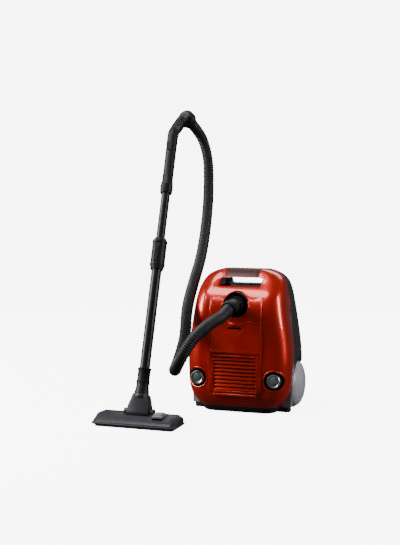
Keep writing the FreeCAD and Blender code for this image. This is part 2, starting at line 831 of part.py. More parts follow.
on_wand(tube(tube_radius, inner_tube_radius + 0.5, COLLAR_LOW + 6 - 100, (0, 0, 100)), "outer_tube")
collar_body = fuse(
    cone(18, 21, 12, (0, 0, COLLAR_LOW)),
    cylinder(21, COLLAR_HIGH - COLLAR_LOW - 20, (0, 0, COLLAR_LOW + 12)),
    cone(21, 17, 8, (0, 0, COLLAR_HIGH - 8)),
)
collar = cut(
    collar_body,
    cylinder(tube_radius, 6, (0, 0, COLLAR_LOW)),
    cylinder(inner_tube_radius + running, 120, (0, 0, COLLAR_LOW)),
    block((-6.5, -30, COLLAR_LOW + 20), (6.5, -18, COLLAR_LOW + 80)),
)
on_wand(collar, "telescope_collar")
collar_button = soften(
    block((-6, -23.5, COLLAR_LOW + 20.5), (6, -18.4, COLLAR_LOW + 68)), 1.5, runs_along("Z")
)
on_wand(collar_button, "collar_button")
on_wand(tube(inner_tube_radius, inner_tube_radius - 1.2, SLEEVE_LOW + 40 - 205, (0, 0, 205)), "inner_tube")

grip_bend = float(size("grip_bend"))
grip_turn = float(size("grip_turn"))
grip_outer = float(grip_radius)
grip_bore = float(inner_tube_radius)
bend_middle = Vector(0, grip_bend, SLEEVE_HIGH)


def grip_bar(radius, start):
    """The straight sleeve and the bent grip as one solid bar."""
    sleeve = Part.makeCylinder(radius, SLEEVE_HIGH - start, Vector(0, 0, start))
    circle = Part.Circle(Vector(0, 0, SLEEVE_HIGH), Vector(0, 0, 1), radius)
    disc = Part.Face(Part.Wire(circle.toShape()))
    return sleeve.fuse(disc.revolve(bend_middle, Vector(-1, 0, 0), grip_turn))


grip_angle = math.radians(grip_turn)
grip_way = Vector(0, math.sin(grip_angle), math.cos(grip_angle))
grip_end = bend_middle + Vector(0, -math.cos(grip_angle), math.sin(grip_angle)) * grip_bend
spout = Part.makeCylinder(grip_outer, 22, grip_end, grip_way)
relief_room = Part.makeBox(15, 6.9, 44, Vector(-7.5, -20.6, SLEEVE_HIGH - 60))
handle = grip_bar(grip_outer, SLEEVE_LOW + 20).fuse(Part.makeCylinder(17.5, 34, Vector(0, 0, SLEEVE_LOW)))
handle = handle.fuse(spout).cut(grip_bar(grip_bore, SLEEVE_LOW - 1))
handle = handle.cut(Part.makeCylinder(grip_bore, 30, grip_end, grip_way)).cut(relief_room)
on_wand(direct(handle), "handle")
relief = Part.makeBox(14.2, 4, 26, Vector(-7.1, -18.2, SLEEVE_HIGH - 59.5))
on_wand(direct(relief), "relief_slider")

cuff_outer = float(size("cuff_radius"))
hose_outer = float(hose_radius)
cuff_start = grip_end + grip_way * 1.0
cuff_profile = [(grip_outer + 0.05, 0), (20, 0), (cuff_outer, 6), (cuff_outer, 26), (22, 34), (22, 40)]
cuff_profile += [(13.5, 40), (13.5, 22), (grip_outer + 0.05, 22)]
# The hose leaves at a slight angle, so its end stands this far off the cuff's face.
HOSE_CLEARANCE = 0.6
cuff_wire = Part.makePolygon([Vector(radius, 0, up) for radius, up in cuff_profile + cuff_profile[:1]])
cuff = Part.Face(cuff_wire).revolve(Vector(0, 0, 0), Vector(0, 0, 1), 360)
cuff_thing = direct(cuff)
cuff_thing.Placement = Placement(cuff_start, Rotation(Vector(0, 0, 1), grip_way))
on_wand(cuff_thing, "swivel_cuff")
hose_start = wand_place.multVec(cuff_start + grip_way * (40 + HOSE_CLEARANCE))

# Hose: straight runs joined by tangent arcs.

HOSE_POINTS = [
    (-225.7, 180.2, 839.2),
    (-212, 226, 802),
    (-200, 243, 740),
    (-194, 232, 668),
    (-184, 192, 588),
    (-173, 132, 508),
    (-161, 56, 434),
    (-155, -34, 364),
    (-147, -118, 296),
    (-137, -154, 226),
    (-136, -198, 178),
    (-131, -252, 148),
    (-115, -308, 148),
    (-88, -344, 184),
    (-58, -340, 236),
    (-32, -306, 268),
    (-16, -262, 284),
    (-8.6, -216, 288.9),
]
route = [hose_start] + [Vector(*point) for point in HOSE_POINTS] + [elbow_end]


def rounded_route(points):
    """Edges of the route, and the radius of each arc."""
    edges = []
    radii = []
    here = points[0]
    for before, corner, after in zip(points, points[1:], points[2:]):
        incoming = (corner - before).normalize()
        outgoing = (after - corner).normalize()
        turn_half = incoming.getAngle(outgoing) / 2
        reach = 0.45 * min((corner - before).Length, (after - corner).Length)
        entry = corner - incoming * reach
        leave = corner + outgoing * reach
        radius = reach / math.tan(turn_half)
        towards = (outgoing - incoming).normalize()
        middle = corner + towards * (radius / math.cos(turn_half) - radius)
        edges.append(Part.LineSegment(here, entry).toShape())
        edges.append(Part.Arc(entry, middle, leave).toShape())
        radii.append(radius)
        here = leave
    edges.append(Part.LineSegment(here, points[-1]).toShape())
    return edges, radii


edges, radii = rounded_route(route)
path = Part.Wire(edges)
first_way = (route[1] - route[0]).normalize()
hose_bore = hose_outer - float(size("hose_wall"))
outer_ring = Part.Wire(Part.Circle(hose_start, first_way, hose_outer).toShape())
inner_ring = Part.Wire(Part.Circle(hose_start, first_way, hose_bore).toShape().reversed())
ring = Part.Face([outer_ring, inner_ring])
hose = path.makePipe(ring)
keep(direct(hose), "hose")
section_area = math.pi * (hose_outer**2 - hose_bore**2)
print("hose runs", [round((after - before).Length) for before, after in zip(route, route[1:])])
print("hose bend radii", [round(radius) for radius in radii])
print("hose length", round(path.Length))
print("hose volume ratio", round(hose.Volume / (section_area * path.Length), 4))

# Neck and floor head.

head_side = size("head_side")
head_half = size("head_half_width")
head_front = float(size("head_front"))
head_back = float(size("head_back"))
head_top = float(size("head_height"))
pivot_depth = -size("head_pivot_front")
pivot_height = size("head_pivot_height")

neck = cut(
    fuse(
        cone(21, 17.5, 24, (0, 0, 50)),
        cylinder(17.5, 46, (0, 0, 74)),
        cylinder(19, 5, (0, 0, 118)),
    ),
    cylinder(tube_radius + running, 30, (0, 0, 99.7)),
    cylinder(13, 60, (0, 0, 45)),
)
on_wand(neck, "neck")
yoke_corners = [(-31, 0), (31, 0), (31, 14), (20, 50), (-20, 50), (-31, 14)]
yoke_slab = padded(yoke_corners, 34, (0, 0, 0), "XZ_Plane", True)
barrel_bar = cylinder(17, 62, (-31, 0, 0), "X")
yoke = cut(
    fuse(yoke_slab, barrel_bar, cylinder(20.5, 10, (0, 0, 40))),
    cylinder(4 + running, 80, (-40, 0, 0), "X"),
    cylinder(13, 60, (0, 0, 12)),
)
yoke.Placement = Placement(pivot, lean)
keep(yoke, "swivel_yoke")

HEAD_PROFILE = [
    (-head_front, 5),
    (-head_front, 13),
    (8 - head_front, 19),
    (-350, head_top),
    (-8 - head_back, head_top),
    (-head_back, 26),
    (-head_back, 5),
]


def head_slice(side, shrink, drop, floor):
    """The head's side outline at one X, drawn in by shrink and lowered by drop."""
    spots = []
    for depth, height in HEAD_PROFILE:
        depth += shrink if depth < -348 else -shrink
        spots.append(Vector(side, depth, floor if height == 5 else height - drop))
    return Part.makePolygon(spots + spots[:1])


centre = float(head_side)
half = float(head_half)


def head_loft(shrink, drop, end, floor):
    reach = half - end
    places = [
        (-reach, 8 + shrink, 5),
        (14 - reach, shrink, 0),
        (reach - 14, shrink, 0),
        (reach, 8 + shrink, 5),
    ]
    slices = [head_slice(centre + side, pull, drop + sink, floor) for side, pull, sink in places]
    return Part.makeLoft(slices, True, True)


cover = head_loft(0, 0, 0, 5).cut(head_loft(3, 3, 3, 4))
across = Vector(1, 0, 0)
tilt_depth = float(pivot_depth)
tilt_height = float(pivot_height)


def tilt_bar(radius, start, length):
    """A round bar on the head's tilt axis."""
    return Part.makeCylinder(radius, length, Vector(centre + start, tilt_depth, tilt_height), across)


barrel_room = tilt_bar(19, -33, 66)
neck_room = Part.makeBox(66, 60, 60, Vector(centre - 33, tilt_depth - 19, 10))
back_room = Part.makeBox(66, 40, 60, Vector(centre - 33, tilt_depth, 10))
pedal_room = Part.makeBox(31, 47, 30, Vector(centre + 46.5, -368.5, 17))
ears = []
for start in (33, -43):
    ear_root = Part.makeBox(10, 24, 22, Vector(centre + start, tilt_depth - 12, 12))
    ears.append(tilt_bar(12, start, 10).fuse(ear_root))
PIN_RADIUS = 4
pin_bore = tilt_bar(PIN_RADIUS, -45, 90)
cover = cover.cut(barrel_room).cut(neck_room).cut(back_room).cut(pedal_room)
for ear in ears:
    cover = cover.fuse(ear)
cover = cover.cut(pin_bore)
roller_spots = [centre - 92, centre + 78]
ROLLER_DEPTH = -319
roller_rooms = [
    Part.makeBox(17, 22, 22, Vector(side - 1.5, ROLLER_DEPTH - 11, 0)) for side in roller_spots
]
for room in roller_rooms:
    cover = cover.cut(room)
roller_axles = [
    Part.makeCylinder(2, 22, Vector(side - 4, ROLLER_DEPTH, float(size("roller_radius"))), across)
    for side in roller_spots
]
for axle in roller_axles:
    cover = cover.cut(axle)
keep(direct(cover), "nozzle_cover")

tilt_pins = [tilt_bar(PIN_RADIUS, start, 20) for start in (-43, 23)]

sole_low = Part.makeBox(2 * half - 16, 74, 5, Vector(centre - half + 8, -385, 0))
sole_corners = [edge for edge in sole_low.Edges if abs(edge.tangentAt(edge.FirstParameter).z) > 0.99]
sole_low = sole_low.makeFillet(8, sole_corners)
mouth = Part.makeBox(200, 16, 20, Vector(centre - 100, -370, -5))
brush_rooms = [Part.makeBox(206, 5, 20, Vector(centre - 103, depth, -5)) for depth in (-379.5, -349.5)]
sole = sole_low.cut(mouth)
for room in brush_rooms + roller_rooms:
    sole = sole.cut(room)
keep(direct(sole), "sole_plate")
brushes = []
for depth in (-379, -349):
    brush = Part.makeBox(205, 4, 6, Vector(centre - 102.5, depth, 1.5))
    brushes.append(brush)
frame_ends = [Part.makeBox(4, 34, 3, Vector(centre + side, -379, 7.5)) for side in (-102.5, 98.5)]
brush_frame = brushes[0].fuse(brushes[1])
for bar in frame_ends:
    brush_frame = brush_frame.fuse(bar)
keep(direct(brush_frame), "brush_strips")
rollers = []
for side in roller_spots:
    roller = cut(
        cylinder(size("roller_radius"), 14, (side, ROLLER_DEPTH, size("roller_radius")), "X"),
        cylinder(2 + running, 14, (side, ROLLER_DEPTH, size("roller_radius")), "X"),
    )
    rollers.append(roller)
keep(fuse(*rollers), "rollers")

pedal_corners = [(-22, 0), (22, 0), (22, 6), (0, 9.5), (-22, 6)]
PEDAL_PIVOT = (-345, 28)
pedal_body = padded(pedal_corners, 28, (centre + 48, *PEDAL_PIVOT), "YZ_Plane")
pedal = cut(
    fuse(pedal_body, cylinder(4.5, 28, (centre + 48, *PEDAL_PIVOT), "X")),
    cylinder(2 + running, 40, (centre + 40, *PEDAL_PIVOT), "X"),
)
keep(pedal, "brush_pedal")
pedal_pin = Part.makeCylinder(2, 36, Vector(centre + 44, *PEDAL_PIVOT), across)
keep(direct(Part.makeCompound(tilt_pins + roller_axles + [pedal_pin])), "head_pins")

# Checks and files.

doc.recompute()
for thing in doc.Objects:
    broken = [word for word in thing.State if word in ("Invalid", "Error")]
    if broken:
        raise RuntimeError(f"{thing.Label} is {broken}")
for thing in pieces:
    if thing.Shape.isNull() or not thing.Shape.isValid():
        raise RuntimeError(f"{thing.Label} has no valid shape")

os.makedirs("parts", exist_ok=True)
for thing in pieces:
    thing.Shape.exportStep(f"parts/{thing.Label}.step")
print(len(pieces), "sub-parts")
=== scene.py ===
import json
import math

import bmesh
import bpy
from mathutils import Matrix, Vector
from mathutils.bvhtree import BVHTree

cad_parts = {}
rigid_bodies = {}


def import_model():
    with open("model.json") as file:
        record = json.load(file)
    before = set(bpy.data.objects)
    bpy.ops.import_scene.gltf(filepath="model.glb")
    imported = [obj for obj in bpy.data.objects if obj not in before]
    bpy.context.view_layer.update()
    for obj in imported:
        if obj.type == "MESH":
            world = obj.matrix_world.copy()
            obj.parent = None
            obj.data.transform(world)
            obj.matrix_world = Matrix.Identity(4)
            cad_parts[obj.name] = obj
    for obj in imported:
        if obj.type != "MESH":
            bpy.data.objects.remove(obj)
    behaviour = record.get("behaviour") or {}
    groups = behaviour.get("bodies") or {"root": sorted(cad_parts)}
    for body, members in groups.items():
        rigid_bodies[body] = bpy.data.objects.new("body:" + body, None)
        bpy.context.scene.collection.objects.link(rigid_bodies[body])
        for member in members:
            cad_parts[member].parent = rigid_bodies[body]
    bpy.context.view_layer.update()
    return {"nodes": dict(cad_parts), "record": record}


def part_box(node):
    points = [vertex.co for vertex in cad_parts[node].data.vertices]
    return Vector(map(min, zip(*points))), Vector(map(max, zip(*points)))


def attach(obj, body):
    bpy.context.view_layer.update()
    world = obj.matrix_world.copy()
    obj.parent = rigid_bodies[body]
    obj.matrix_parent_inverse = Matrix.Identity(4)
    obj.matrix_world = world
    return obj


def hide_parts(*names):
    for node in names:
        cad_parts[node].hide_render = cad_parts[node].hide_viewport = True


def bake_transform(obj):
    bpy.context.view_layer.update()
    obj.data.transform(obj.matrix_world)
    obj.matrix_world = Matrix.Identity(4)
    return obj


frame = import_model()
nodes = frame["nodes"]
mm = 0.001
jointsByName = {joint["name"]: joint for joint in frame["record"]["behaviour"]["joints"]}
print("frame loaded,", len(nodes), "nodes")


def deselectAll():
    if bpy.context.object and bpy.context.object.mode != "OBJECT":
        bpy.ops.object.mode_set(mode="OBJECT")
    for thing in bpy.context.view_layer.objects:
        thing.select_set(False)


def activate(thing):
    deselectAll()
    thing.select_set(True)
    bpy.context.view_layer.objects.active = thing


def editStart(thing, mode="VERT"):
    activate(thing)
    bpy.ops.object.mode_set(mode="EDIT")
    bpy.ops.mesh.select_mode(type=mode)


def editEnd():
    bpy.ops.object.mode_set(mode="OBJECT")


def applyModifiers(thing):
    activate(thing)
    for modifier in list(thing.modifiers):
        bpy.ops.object.modifier_apply(modifier=modifier.name)


def bakePlace(thing):
    activate(thing)
    bpy.ops.object.transform_apply(location=True, rotation=True, scale=True)


def addBevel(thing, width, segments=2, angle=35):
    bevel = thing.modifiers.new("edgeRound", "BEVEL")
    bevel.width = width
    bevel.segments = segments
    bevel.limit_method = "ANGLE"
    bevel.angle_limit = math.radians(angle)
    applyModifiers(thing)


def smoothBy(thing, angle=35):
    activate(thing)
    bpy.ops.object.shade_smooth_by_angle(angle=math.radians(angle))


def cleanMesh(thing, gap=1e-5):
    editStart(thing)
    bpy.ops.mesh.select_all(action="SELECT")
    bpy.ops.mesh.remove_doubles(threshold=gap)
    bpy.ops.mesh.normals_make_consistent(inside=False)
    editEnd()


def joinPieces(first, others):
    activate(first)
    for other in others:
        other.select_set(True)
    bpy.ops.object.join()
    return first


def copyOf(thing, name):
    double = thing.copy()
    double.data = thing.data.copy()
    double.name = name
    bpy.context.scene.collection.objects.link(double)
    return double


def place(thing, name, body, slotName, material, stands=()):
    thing.name = name
    thing.data.name = name
    thing.data.materials.clear()
    thing.data.materials.append(material)
    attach(thing, body)
    if stands:
        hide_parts(*stands)
    return thing


def roundedBlock(low, high, width, segments=3):
    # a cube at its size and place, every edge rounded
    low, high = Vector(low), Vector(high)
    deselectAll()
    bpy.ops.mesh.primitive_cube_add(size=1, location=(low + high) / 2)
    cube = bpy.context.object
    cube.scale = high - low
    bakePlace(cube)
    if width:
        addBevel(cube, width, segments, 30)
    smoothBy(cube, 40)
    return cube


def turnedPiece(profile, base, way, steps=64, close=True):
    # profile is (radius, distance along way); drawn as one line, then spun round
    base, way = Vector(base), Vector(way).normalized()
    across = way.orthogonal().normalized()
    spots = [base + across * radius + way * along for radius, along in profile]
    deselectAll()
    bpy.ops.mesh.primitive_plane_add(size=0.001, location=(0, 0, 0))
    piece = bpy.context.object
    editStart(piece)
    bpy.ops.mesh.select_all(action="SELECT")
    bpy.ops.mesh.merge(type="CENTER")
    bpy.ops.transform.translate(value=spots[0])
    for before, after in zip(spots, spots[1:]):
        bpy.ops.mesh.extrude_region_move(TRANSFORM_OT_translate={"value": after - before})
    if close:
        bpy.ops.mesh.extrude_region_move(TRANSFORM_OT_translate={"value": spots[0] - spots[-1]})
    bpy.ops.mesh.select_all(action="SELECT")
    bpy.ops.mesh.spin(steps=steps, angle=2 * math.pi, center=base, axis=way)
    editEnd()
    cleanMesh(piece)
    smoothBy(piece, 32)
    return piece


def sweptPiece(stations, sides):
    # one circle, extruded through stations of (centre, way, half width across, half width back)
    deselectAll()
    bpy.ops.mesh.primitive_circle_add(vertices=sides, radius=0.01, fill_type="NGON")
    piece = bpy.context.object
    editStart(piece)
    bpy.ops.mesh.select_all(action="SELECT")

    def setRing(station):
        centre, way, wide, deep = station
        way = Vector(way).normalized()
        side = Vector((way.z, 0, -way.x)) if abs(way.y) < 0.9999 else Vector((1, 0, 0))
        side = (side - way * side.dot(way)).normalized()
        back = way.cross(side)
        shape = bmesh.from_edit_mesh(piece.data)
        ring = sorted((vert for vert in shape.verts if vert.select), key=lambda vert: vert.index)
        for number, vert in enumerate(ring):
            turn = 2 * math.pi * number / sides
            vert.co = Vector(centre) + side * wide * math.cos(turn) + back * deep * math.sin(turn)
        bmesh.update_edit_mesh(piece.data)

    setRing(stations[0])
    for station in stations[1:]:
        bpy.ops.mesh.extrude_region()
        bmesh.from_edit_mesh(piece.data).verts.index_update()
        setRing(station)
    editEnd()
    cleanMesh(piece)
    smoothBy(piece, 40)
    return piece


# Shader groups: each gives out a value, a mask or a normal.

def newGroup(name, inputs, outputs):
    group = bpy.data.node_groups.new(name, "ShaderNodeTree")
    for label, kind, value in inputs:
        socket = group.interface.new_socket(label, in_out="INPUT", socket_type=kind)
        socket.default_value = value
    for label, kind in outputs:
        group.interface.new_socket(label, in_out="OUTPUT", socket_type=kind)
    entry = group.nodes.new("NodeGroupInput")
    leave = group.nodes.new("NodeGroupOutput")
    return group, entry, leave


def mathNode(tree, operation, first, second=None, third=None):
    node = tree.nodes.new("ShaderNodeMath")
    node.operation = operation
    for socket, value in zip(node.inputs, (first, second, third)):
        if value is None:
            continue
        if isinstance(value, (int, float)):
            socket.default_value = value
        else:
            tree.links.new(value, socket)
    return node.outputs[0]


def noiseNode(tree, vector, scale, detail=3.0, rough=0.5):
    node = tree.nodes.new("ShaderNodeTexNoise")
    node.inputs["Detail"].default_value = detail
    node.inputs["Roughness"].default_value = rough
    tree.links.new(vector, node.inputs["Vector"])
    if isinstance(scale, (int, float)):
        node.inputs["Scale"].default_value = scale
    else:
        tree.links.new(scale, node.inputs["Scale"])
    return node.outputs["Fac"]


def makeGrainGroup():
    # moulded grain as a normal, with a patchy tone and a roughness that varies
    group, entry, leave = newGroup(
        "mouldGrain",
        [("Grain Scale", "NodeSocketFloat", 900.0), ("Grain Height", "NodeSocketFloat", 0.15),
         ("Rough Low", "NodeSocketFloat", 0.4), ("Rough High", "NodeSocketFloat", 0.55)],
        [("Normal", "NodeSocketVector"), ("Tone", "NodeSocketFloat"), ("Roughness", "NodeSocketFloat")],
    )
    place = group.nodes.new("ShaderNodeTexCoord").outputs["Object"]
    grain = noiseNode(group, place, entry.outputs["Grain Scale"], 2.0)
    bump = group.nodes.new("ShaderNodeBump")
    bump.inputs["Distance"].default_value = 0.0004
    group.links.new(entry.outputs["Grain Height"], bump.inputs["Strength"])
    group.links.new(grain, bump.inputs["Height"])
    patch = noiseNode(group, place, 22.0, 5.0, 0.62)
    smear = noiseNode(group, place, 75.0, 4.0, 0.7)
    blend = mathNode(group, "MULTIPLY_ADD", smear, 0.45, mathNode(group, "MULTIPLY", patch, 0.55))
    span = mathNode(group, "SUBTRACT", entry.outputs["Rough High"], entry.outputs["Rough Low"])
    rough = mathNode(group, "MULTIPLY_ADD", blend, span, entry.outputs["Rough Low"])
    group.links.new(bump.outputs["Normal"], leave.inputs["Normal"])
    group.links.new(blend, leave.inputs["Tone"])
    group.links.new(rough, leave.inputs["Roughness"])
    return group


def makeScuffGroup():
    # fine scratches and a little dust that settles on faces that look up
    group, entry, leave = newGroup(
        "scuffDust",
        [("Scratch Scale", "NodeSocketFloat", 60.0), ("Dust", "NodeSocketFloat", 0.2)],
        [("Scratch", "NodeSocketFloat"), ("Dust Mask", "NodeSocketFloat")],
    )
    place = group.nodes.new("ShaderNodeTexCoord").outputs["Object"]
    stretch = group.nodes.new("ShaderNodeMapping")
    stretch.inputs["Scale"].default_value = (1.0, 1.0, 0.06)
    stretch.inputs["Rotation"].default_value = (0.5, 0.4, 0.2)
    group.links.new(place, stretch.inputs["Vector"])
    lineScale = mathNode(group, "MULTIPLY", entry.outputs["Scratch Scale"], 9.0)
    lines = noiseNode(group, stretch.outputs["Vector"], lineScale, 6.0, 0.8)
    thin = mathNode(group, "GREATER_THAN", lines, 0.71)
    facing = group.nodes.new("ShaderNodeNewGeometry")
    split = group.nodes.new("ShaderNodeSeparateXYZ")
    group.links.new(facing.outputs["Normal"], split.inputs["Vector"])
    upward = mathNode(group, "MAXIMUM", split.outputs["Z"], 0.0)
    speck = noiseNode(group, place, 260.0, 4.0, 0.7)
    dust = mathNode(group, "MULTIPLY", mathNode(group, "MULTIPLY", upward, speck), entry.outputs["Dust"])
    group.links.new(thin, leave.inputs["Scratch"])
    group.links.new(dust, leave.inputs["Dust Mask"])
    return group


grainGroup = makeGrainGroup()
scuffGroup = makeScuffGroup()


def useGroup(tree, group, values):
    node = tree.nodes.new("ShaderNodeGroup")
    node.node_tree = group
    for label, value in values.items():
        node.inputs[label].default_value = value
    return node


def mixColour(tree, factor, first, second):
    node = tree.nodes.new("ShaderNodeMix")
    node.data_type = "RGBA"
    for socket, value in ((node.inputs[0], factor), (node.inputs[6], first), (node.inputs[7], second)):
        if isinstance(value, (int, float)):
            socket.default_value = value
        elif isinstance(value, tuple):
            socket.default_value = (*value, 1.0)
        else:
            tree.links.new(value, socket)
    return node.outputs[2]


def makePlastic(name, look):
    # look: two tones, a roughness range, grain, dust and the shader's own constants
    material = bpy.data.materials.new(name)
    material.use_nodes = True
    tree = material.node_tree
    shader = tree.nodes["Principled BSDF"]
    grain = useGroup(tree, grainGroup, {
        "Grain Scale": look.get("grainScale", 900.0), "Grain Height": look.get("grainHeight", 0.12),
        "Rough Low": look["rough"][0], "Rough High": look["rough"][1]})
    scuff = useGroup(tree, scuffGroup, {"Scratch Scale": 60.0, "Dust": look.get("dust", 0.12)})
    tone = mixColour(tree, grain.outputs["Tone"], look["dark"], look["light"])
    wear = mathNode(tree, "MULTIPLY", scuff.outputs["Scratch"], look.get("scratch", 0.1))
    scratched = mixColour(tree, wear, tone, look.get("scratchColour", (0.25, 0.25, 0.26)))
    dusted = mixColour(tree, scuff.outputs["Dust Mask"], scratched, (0.34, 0.32, 0.30))
    tree.links.new(dusted, shader.inputs["Base Color"])
    dusty = mathNode(tree, "MULTIPLY", scuff.outputs["Dust Mask"], 0.4)
    rough = mathNode(tree, "ADD", grain.outputs["Roughness"], dusty)
    tree.links.new(rough, shader.inputs["Roughness"])
    tree.links.new(grain.outputs["Normal"], shader.inputs["Normal"])
    for label, value in look.get("fixed", {}).items():
        shader.inputs[label].default_value = value
    return material


def makePearl(name, look):
    # pearl lacquer under a clear coat: flakes tint the base, and the coat hides fine swirls
    material = bpy.data.materials.new(name)
    material.use_nodes = True
    tree = material.node_tree
    shader = tree.nodes["Principled BSDF"]
    place = tree.nodes.new("ShaderNodeTexCoord").outputs["Object"]
    flake = tree.nodes.new("ShaderNodeTexVoronoi")
    flake.inputs["Scale"].default_value = look["flakeScale"]
    tree.links.new(place, flake.inputs["Vector"])
    split = tree.nodes.new("ShaderNodeSeparateColor")
    tree.links.new(flake.outputs["Color"], split.inputs["Color"])
    cloud = noiseNode(tree, place, 9.0, 3.0)
    sparkle = mathNode(tree, "MULTIPLY_ADD", split.outputs[0], 0.55, mathNode(tree, "MULTIPLY", cloud, 0.45))
    scuff = useGroup(tree, scuffGroup, {"Scratch Scale": 45.0, "Dust": look["dust"]})
    base = mixColour(tree, sparkle, look["dark"], look["light"])
    dusted = mixColour(tree, scuff.outputs["Dust Mask"], base, (0.45, 0.36, 0.33))
    tree.links.new(dusted, shader.inputs["Base Color"])
    rough = mathNode(tree, "MULTIPLY_ADD", scuff.outputs["Scratch"], 0.12,
                     mathNode(tree, "MULTIPLY_ADD", cloud, 0.10, look["rough"]))
    tree.links.new(rough, shader.inputs["Roughness"])
    metal = mathNode(tree, "MULTIPLY_ADD", split.outputs[1], 0.25, look["metal"])
    tree.links.new(metal, shader.inputs["Metallic"])
    ripple = tree.nodes.new("ShaderNodeBump")
    ripple.inputs["Strength"].default_value = 0.05
    ripple.inputs["Distance"].default_value = 0.0003
    tree.links.new(noiseNode(tree, place, 320.0, 2.0), ripple.inputs["Height"])
    tree.links.new(ripple.outputs["Normal"], shader.inputs["Normal"])
    shader.inputs["Coat Weight"].default_value = look.get("coat", 1.0)
    shader.inputs["Coat Roughness"].default_value = look.get("coatRough", 0.025)
    shader.inputs["Coat IOR"].default_value = 1.55
    return material


def makeMetal(name, colour, rough, brushScale=420.0):
    material = bpy.data.materials.new(name)
    material.use_nodes = True
    tree = material.node_tree
    shader = tree.nodes["Principled BSDF"]
    place = tree.nodes.new("ShaderNodeTexCoord").outputs["Object"]
    stretch = tree.nodes.new("ShaderNodeMapping")
    stretch.inputs["Scale"].default_value = (0.15, 1.0, 1.0)
    tree.links.new(place, stretch.inputs["Vector"])
    brush = noiseNode(tree, stretch.outputs["Vector"], brushScale, 4.0, 0.6)
    brushed = mathNode(tree, "MULTIPLY_ADD", brush, rough[1] - rough[0], rough[0])
    tree.links.new(brushed, shader.inputs["Roughness"])
    dull = tuple(0.82 * part for part in colour)
    tree.links.new(mixColour(tree, noiseNode(tree, place, 30.0), dull, colour), shader.inputs["Base Color"])
    shader.inputs["Metallic"].default_value = 1.0
    return material


pearls = {
    "pearlRed": {
        "dark": (0.52, 0.006, 0.002), "light": (0.88, 0.026, 0.006), "flakeScale": 1500.0,
        "rough": 0.27, "metal": 0.42, "dust": 0.015,
    },
    "maroonInsert": {
        "dark": (0.03, 0.002, 0.002), "light": (0.085, 0.005, 0.004), "flakeScale": 1500.0,
        "rough": 0.42, "metal": 0.2, "dust": 0.01, "coat": 0.25, "coatRough": 0.2,
    },
}
plastics = {
    "housingDark": {
        "dark": (0.022, 0.022, 0.025), "light": (0.04, 0.04, 0.044), "rough": (0.34, 0.52),
        "grainHeight": 0.16, "dust": 0.05,
    },
    "baseBlack": {
        "dark": (0.01, 0.01, 0.011), "light": (0.022, 0.022, 0.024), "rough": (0.42, 0.6),
        "grainHeight": 0.2, "scratch": 0.25,
    },
    "fenderGrey": {
        "dark": (0.2, 0.21, 0.22), "light": (0.3, 0.31, 0.33), "rough": (0.28, 0.42),
        "grainHeight": 0.06,
    },
    "wheelLavender": {
        "dark": (0.5, 0.49, 0.56), "light": (0.66, 0.65, 0.72), "rough": (0.22, 0.38),
        "grainHeight": 0.04, "scratchColour": (0.35, 0.34, 0.38),
        "fixed": {"Coat Weight": 0.35, "Coat Roughness": 0.12},
    },
    "tyreBlack": {
        "dark": (0.012, 0.012, 0.012), "light": (0.03, 0.03, 0.031), "rough": (0.62, 0.82),
        "grainHeight": 0.3, "dust": 0.3,
    },
    "satinBlack": {
        "dark": (0.009, 0.009, 0.01), "light": (0.02, 0.02, 0.022), "rough": (0.34, 0.5),
        "grainHeight": 0.12, "dust": 0.02, "fixed": {"Specular IOR Level": 0.22},
    },
    "glossBlack": {
        "dark": (0.006, 0.006, 0.007), "light": (0.012, 0.012, 0.014), "rough": (0.26, 0.4),
        "grainHeight": 0.03, "dust": 0.01, "fixed": {"Specular IOR Level": 0.3},
    },
    "headCharcoal": {
        "dark": (0.02, 0.019, 0.025), "light": (0.042, 0.04, 0.05), "rough": (0.3, 0.48),
        "grainHeight": 0.18, "dust": 0.03, "fixed": {"Specular IOR Level": 0.35},
    },
    "pedalGrey": {
        "dark": (0.19, 0.19, 0.2), "light": (0.29, 0.29, 0.31), "rough": (0.34, 0.5),
    },
    "hoseRubber": {
        "dark": (0.013, 0.013, 0.015), "light": (0.03, 0.03, 0.034), "rough": (0.38, 0.54),
        "grainHeight": 0.1, "dust": 0.03, "fixed": {"Specular IOR Level": 0.32},
    },
    "knobGreen": {
        "dark": (0.085, 0.125, 0.11), "light": (0.15, 0.2, 0.18), "rough": (0.18, 0.3),
        "fixed": {"Coat Weight": 0.6, "Coat Roughness": 0.08},
    },
    "innerGrey": {
        "dark": (0.2, 0.2, 0.21), "light": (0.3, 0.3, 0.31), "rough": (0.45, 0.6),
    },
    "boardGreen": {
        "dark": (0.01, 0.1, 0.035), "light": (0.02, 0.17, 0.06), "rough": (0.3, 0.45),
    },
    "filterFoam": {
        "dark": (0.14, 0.15, 0.16), "light": (0.3, 0.31, 0.33), "rough": (0.85, 0.95),
        "grainScale": 420.0, "grainHeight": 0.9,
    },
    "bagPaper": {
        "dark": (0.52, 0.42, 0.29), "light": (0.68, 0.58, 0.43), "rough": (0.78, 0.9),
        "grainScale": 1300.0, "grainHeight": 0.35, "scratchColour": (0.4, 0.32, 0.22),
    },
    "card": {
        "dark": (0.36, 0.27, 0.17), "light": (0.5, 0.4, 0.27), "rough": (0.75, 0.85),
    },
    "bristle": {
        "dark": (0.012, 0.012, 0.013), "light": (0.06, 0.06, 0.062), "rough": (0.5, 0.7),
    },
}
# each metal is its colour and its range of roughness
metals = {
    "copper": ((0.72, 0.36, 0.2), (0.25, 0.5)),
    "plated": ((0.86, 0.86, 0.86), (0.18, 0.34)),
    "steel": ((0.5, 0.5, 0.52), (0.25, 0.42)),
}
finishes = {name: makePearl(name, look) for name, look in pearls.items()}
finishes.update({name: makePlastic(name, look) for name, look in plastics.items()})
finishes.update({name: makeMetal(name, colour, rough) for name, (colour, rough) in metals.items()})
print("materials made,", len(finishes))

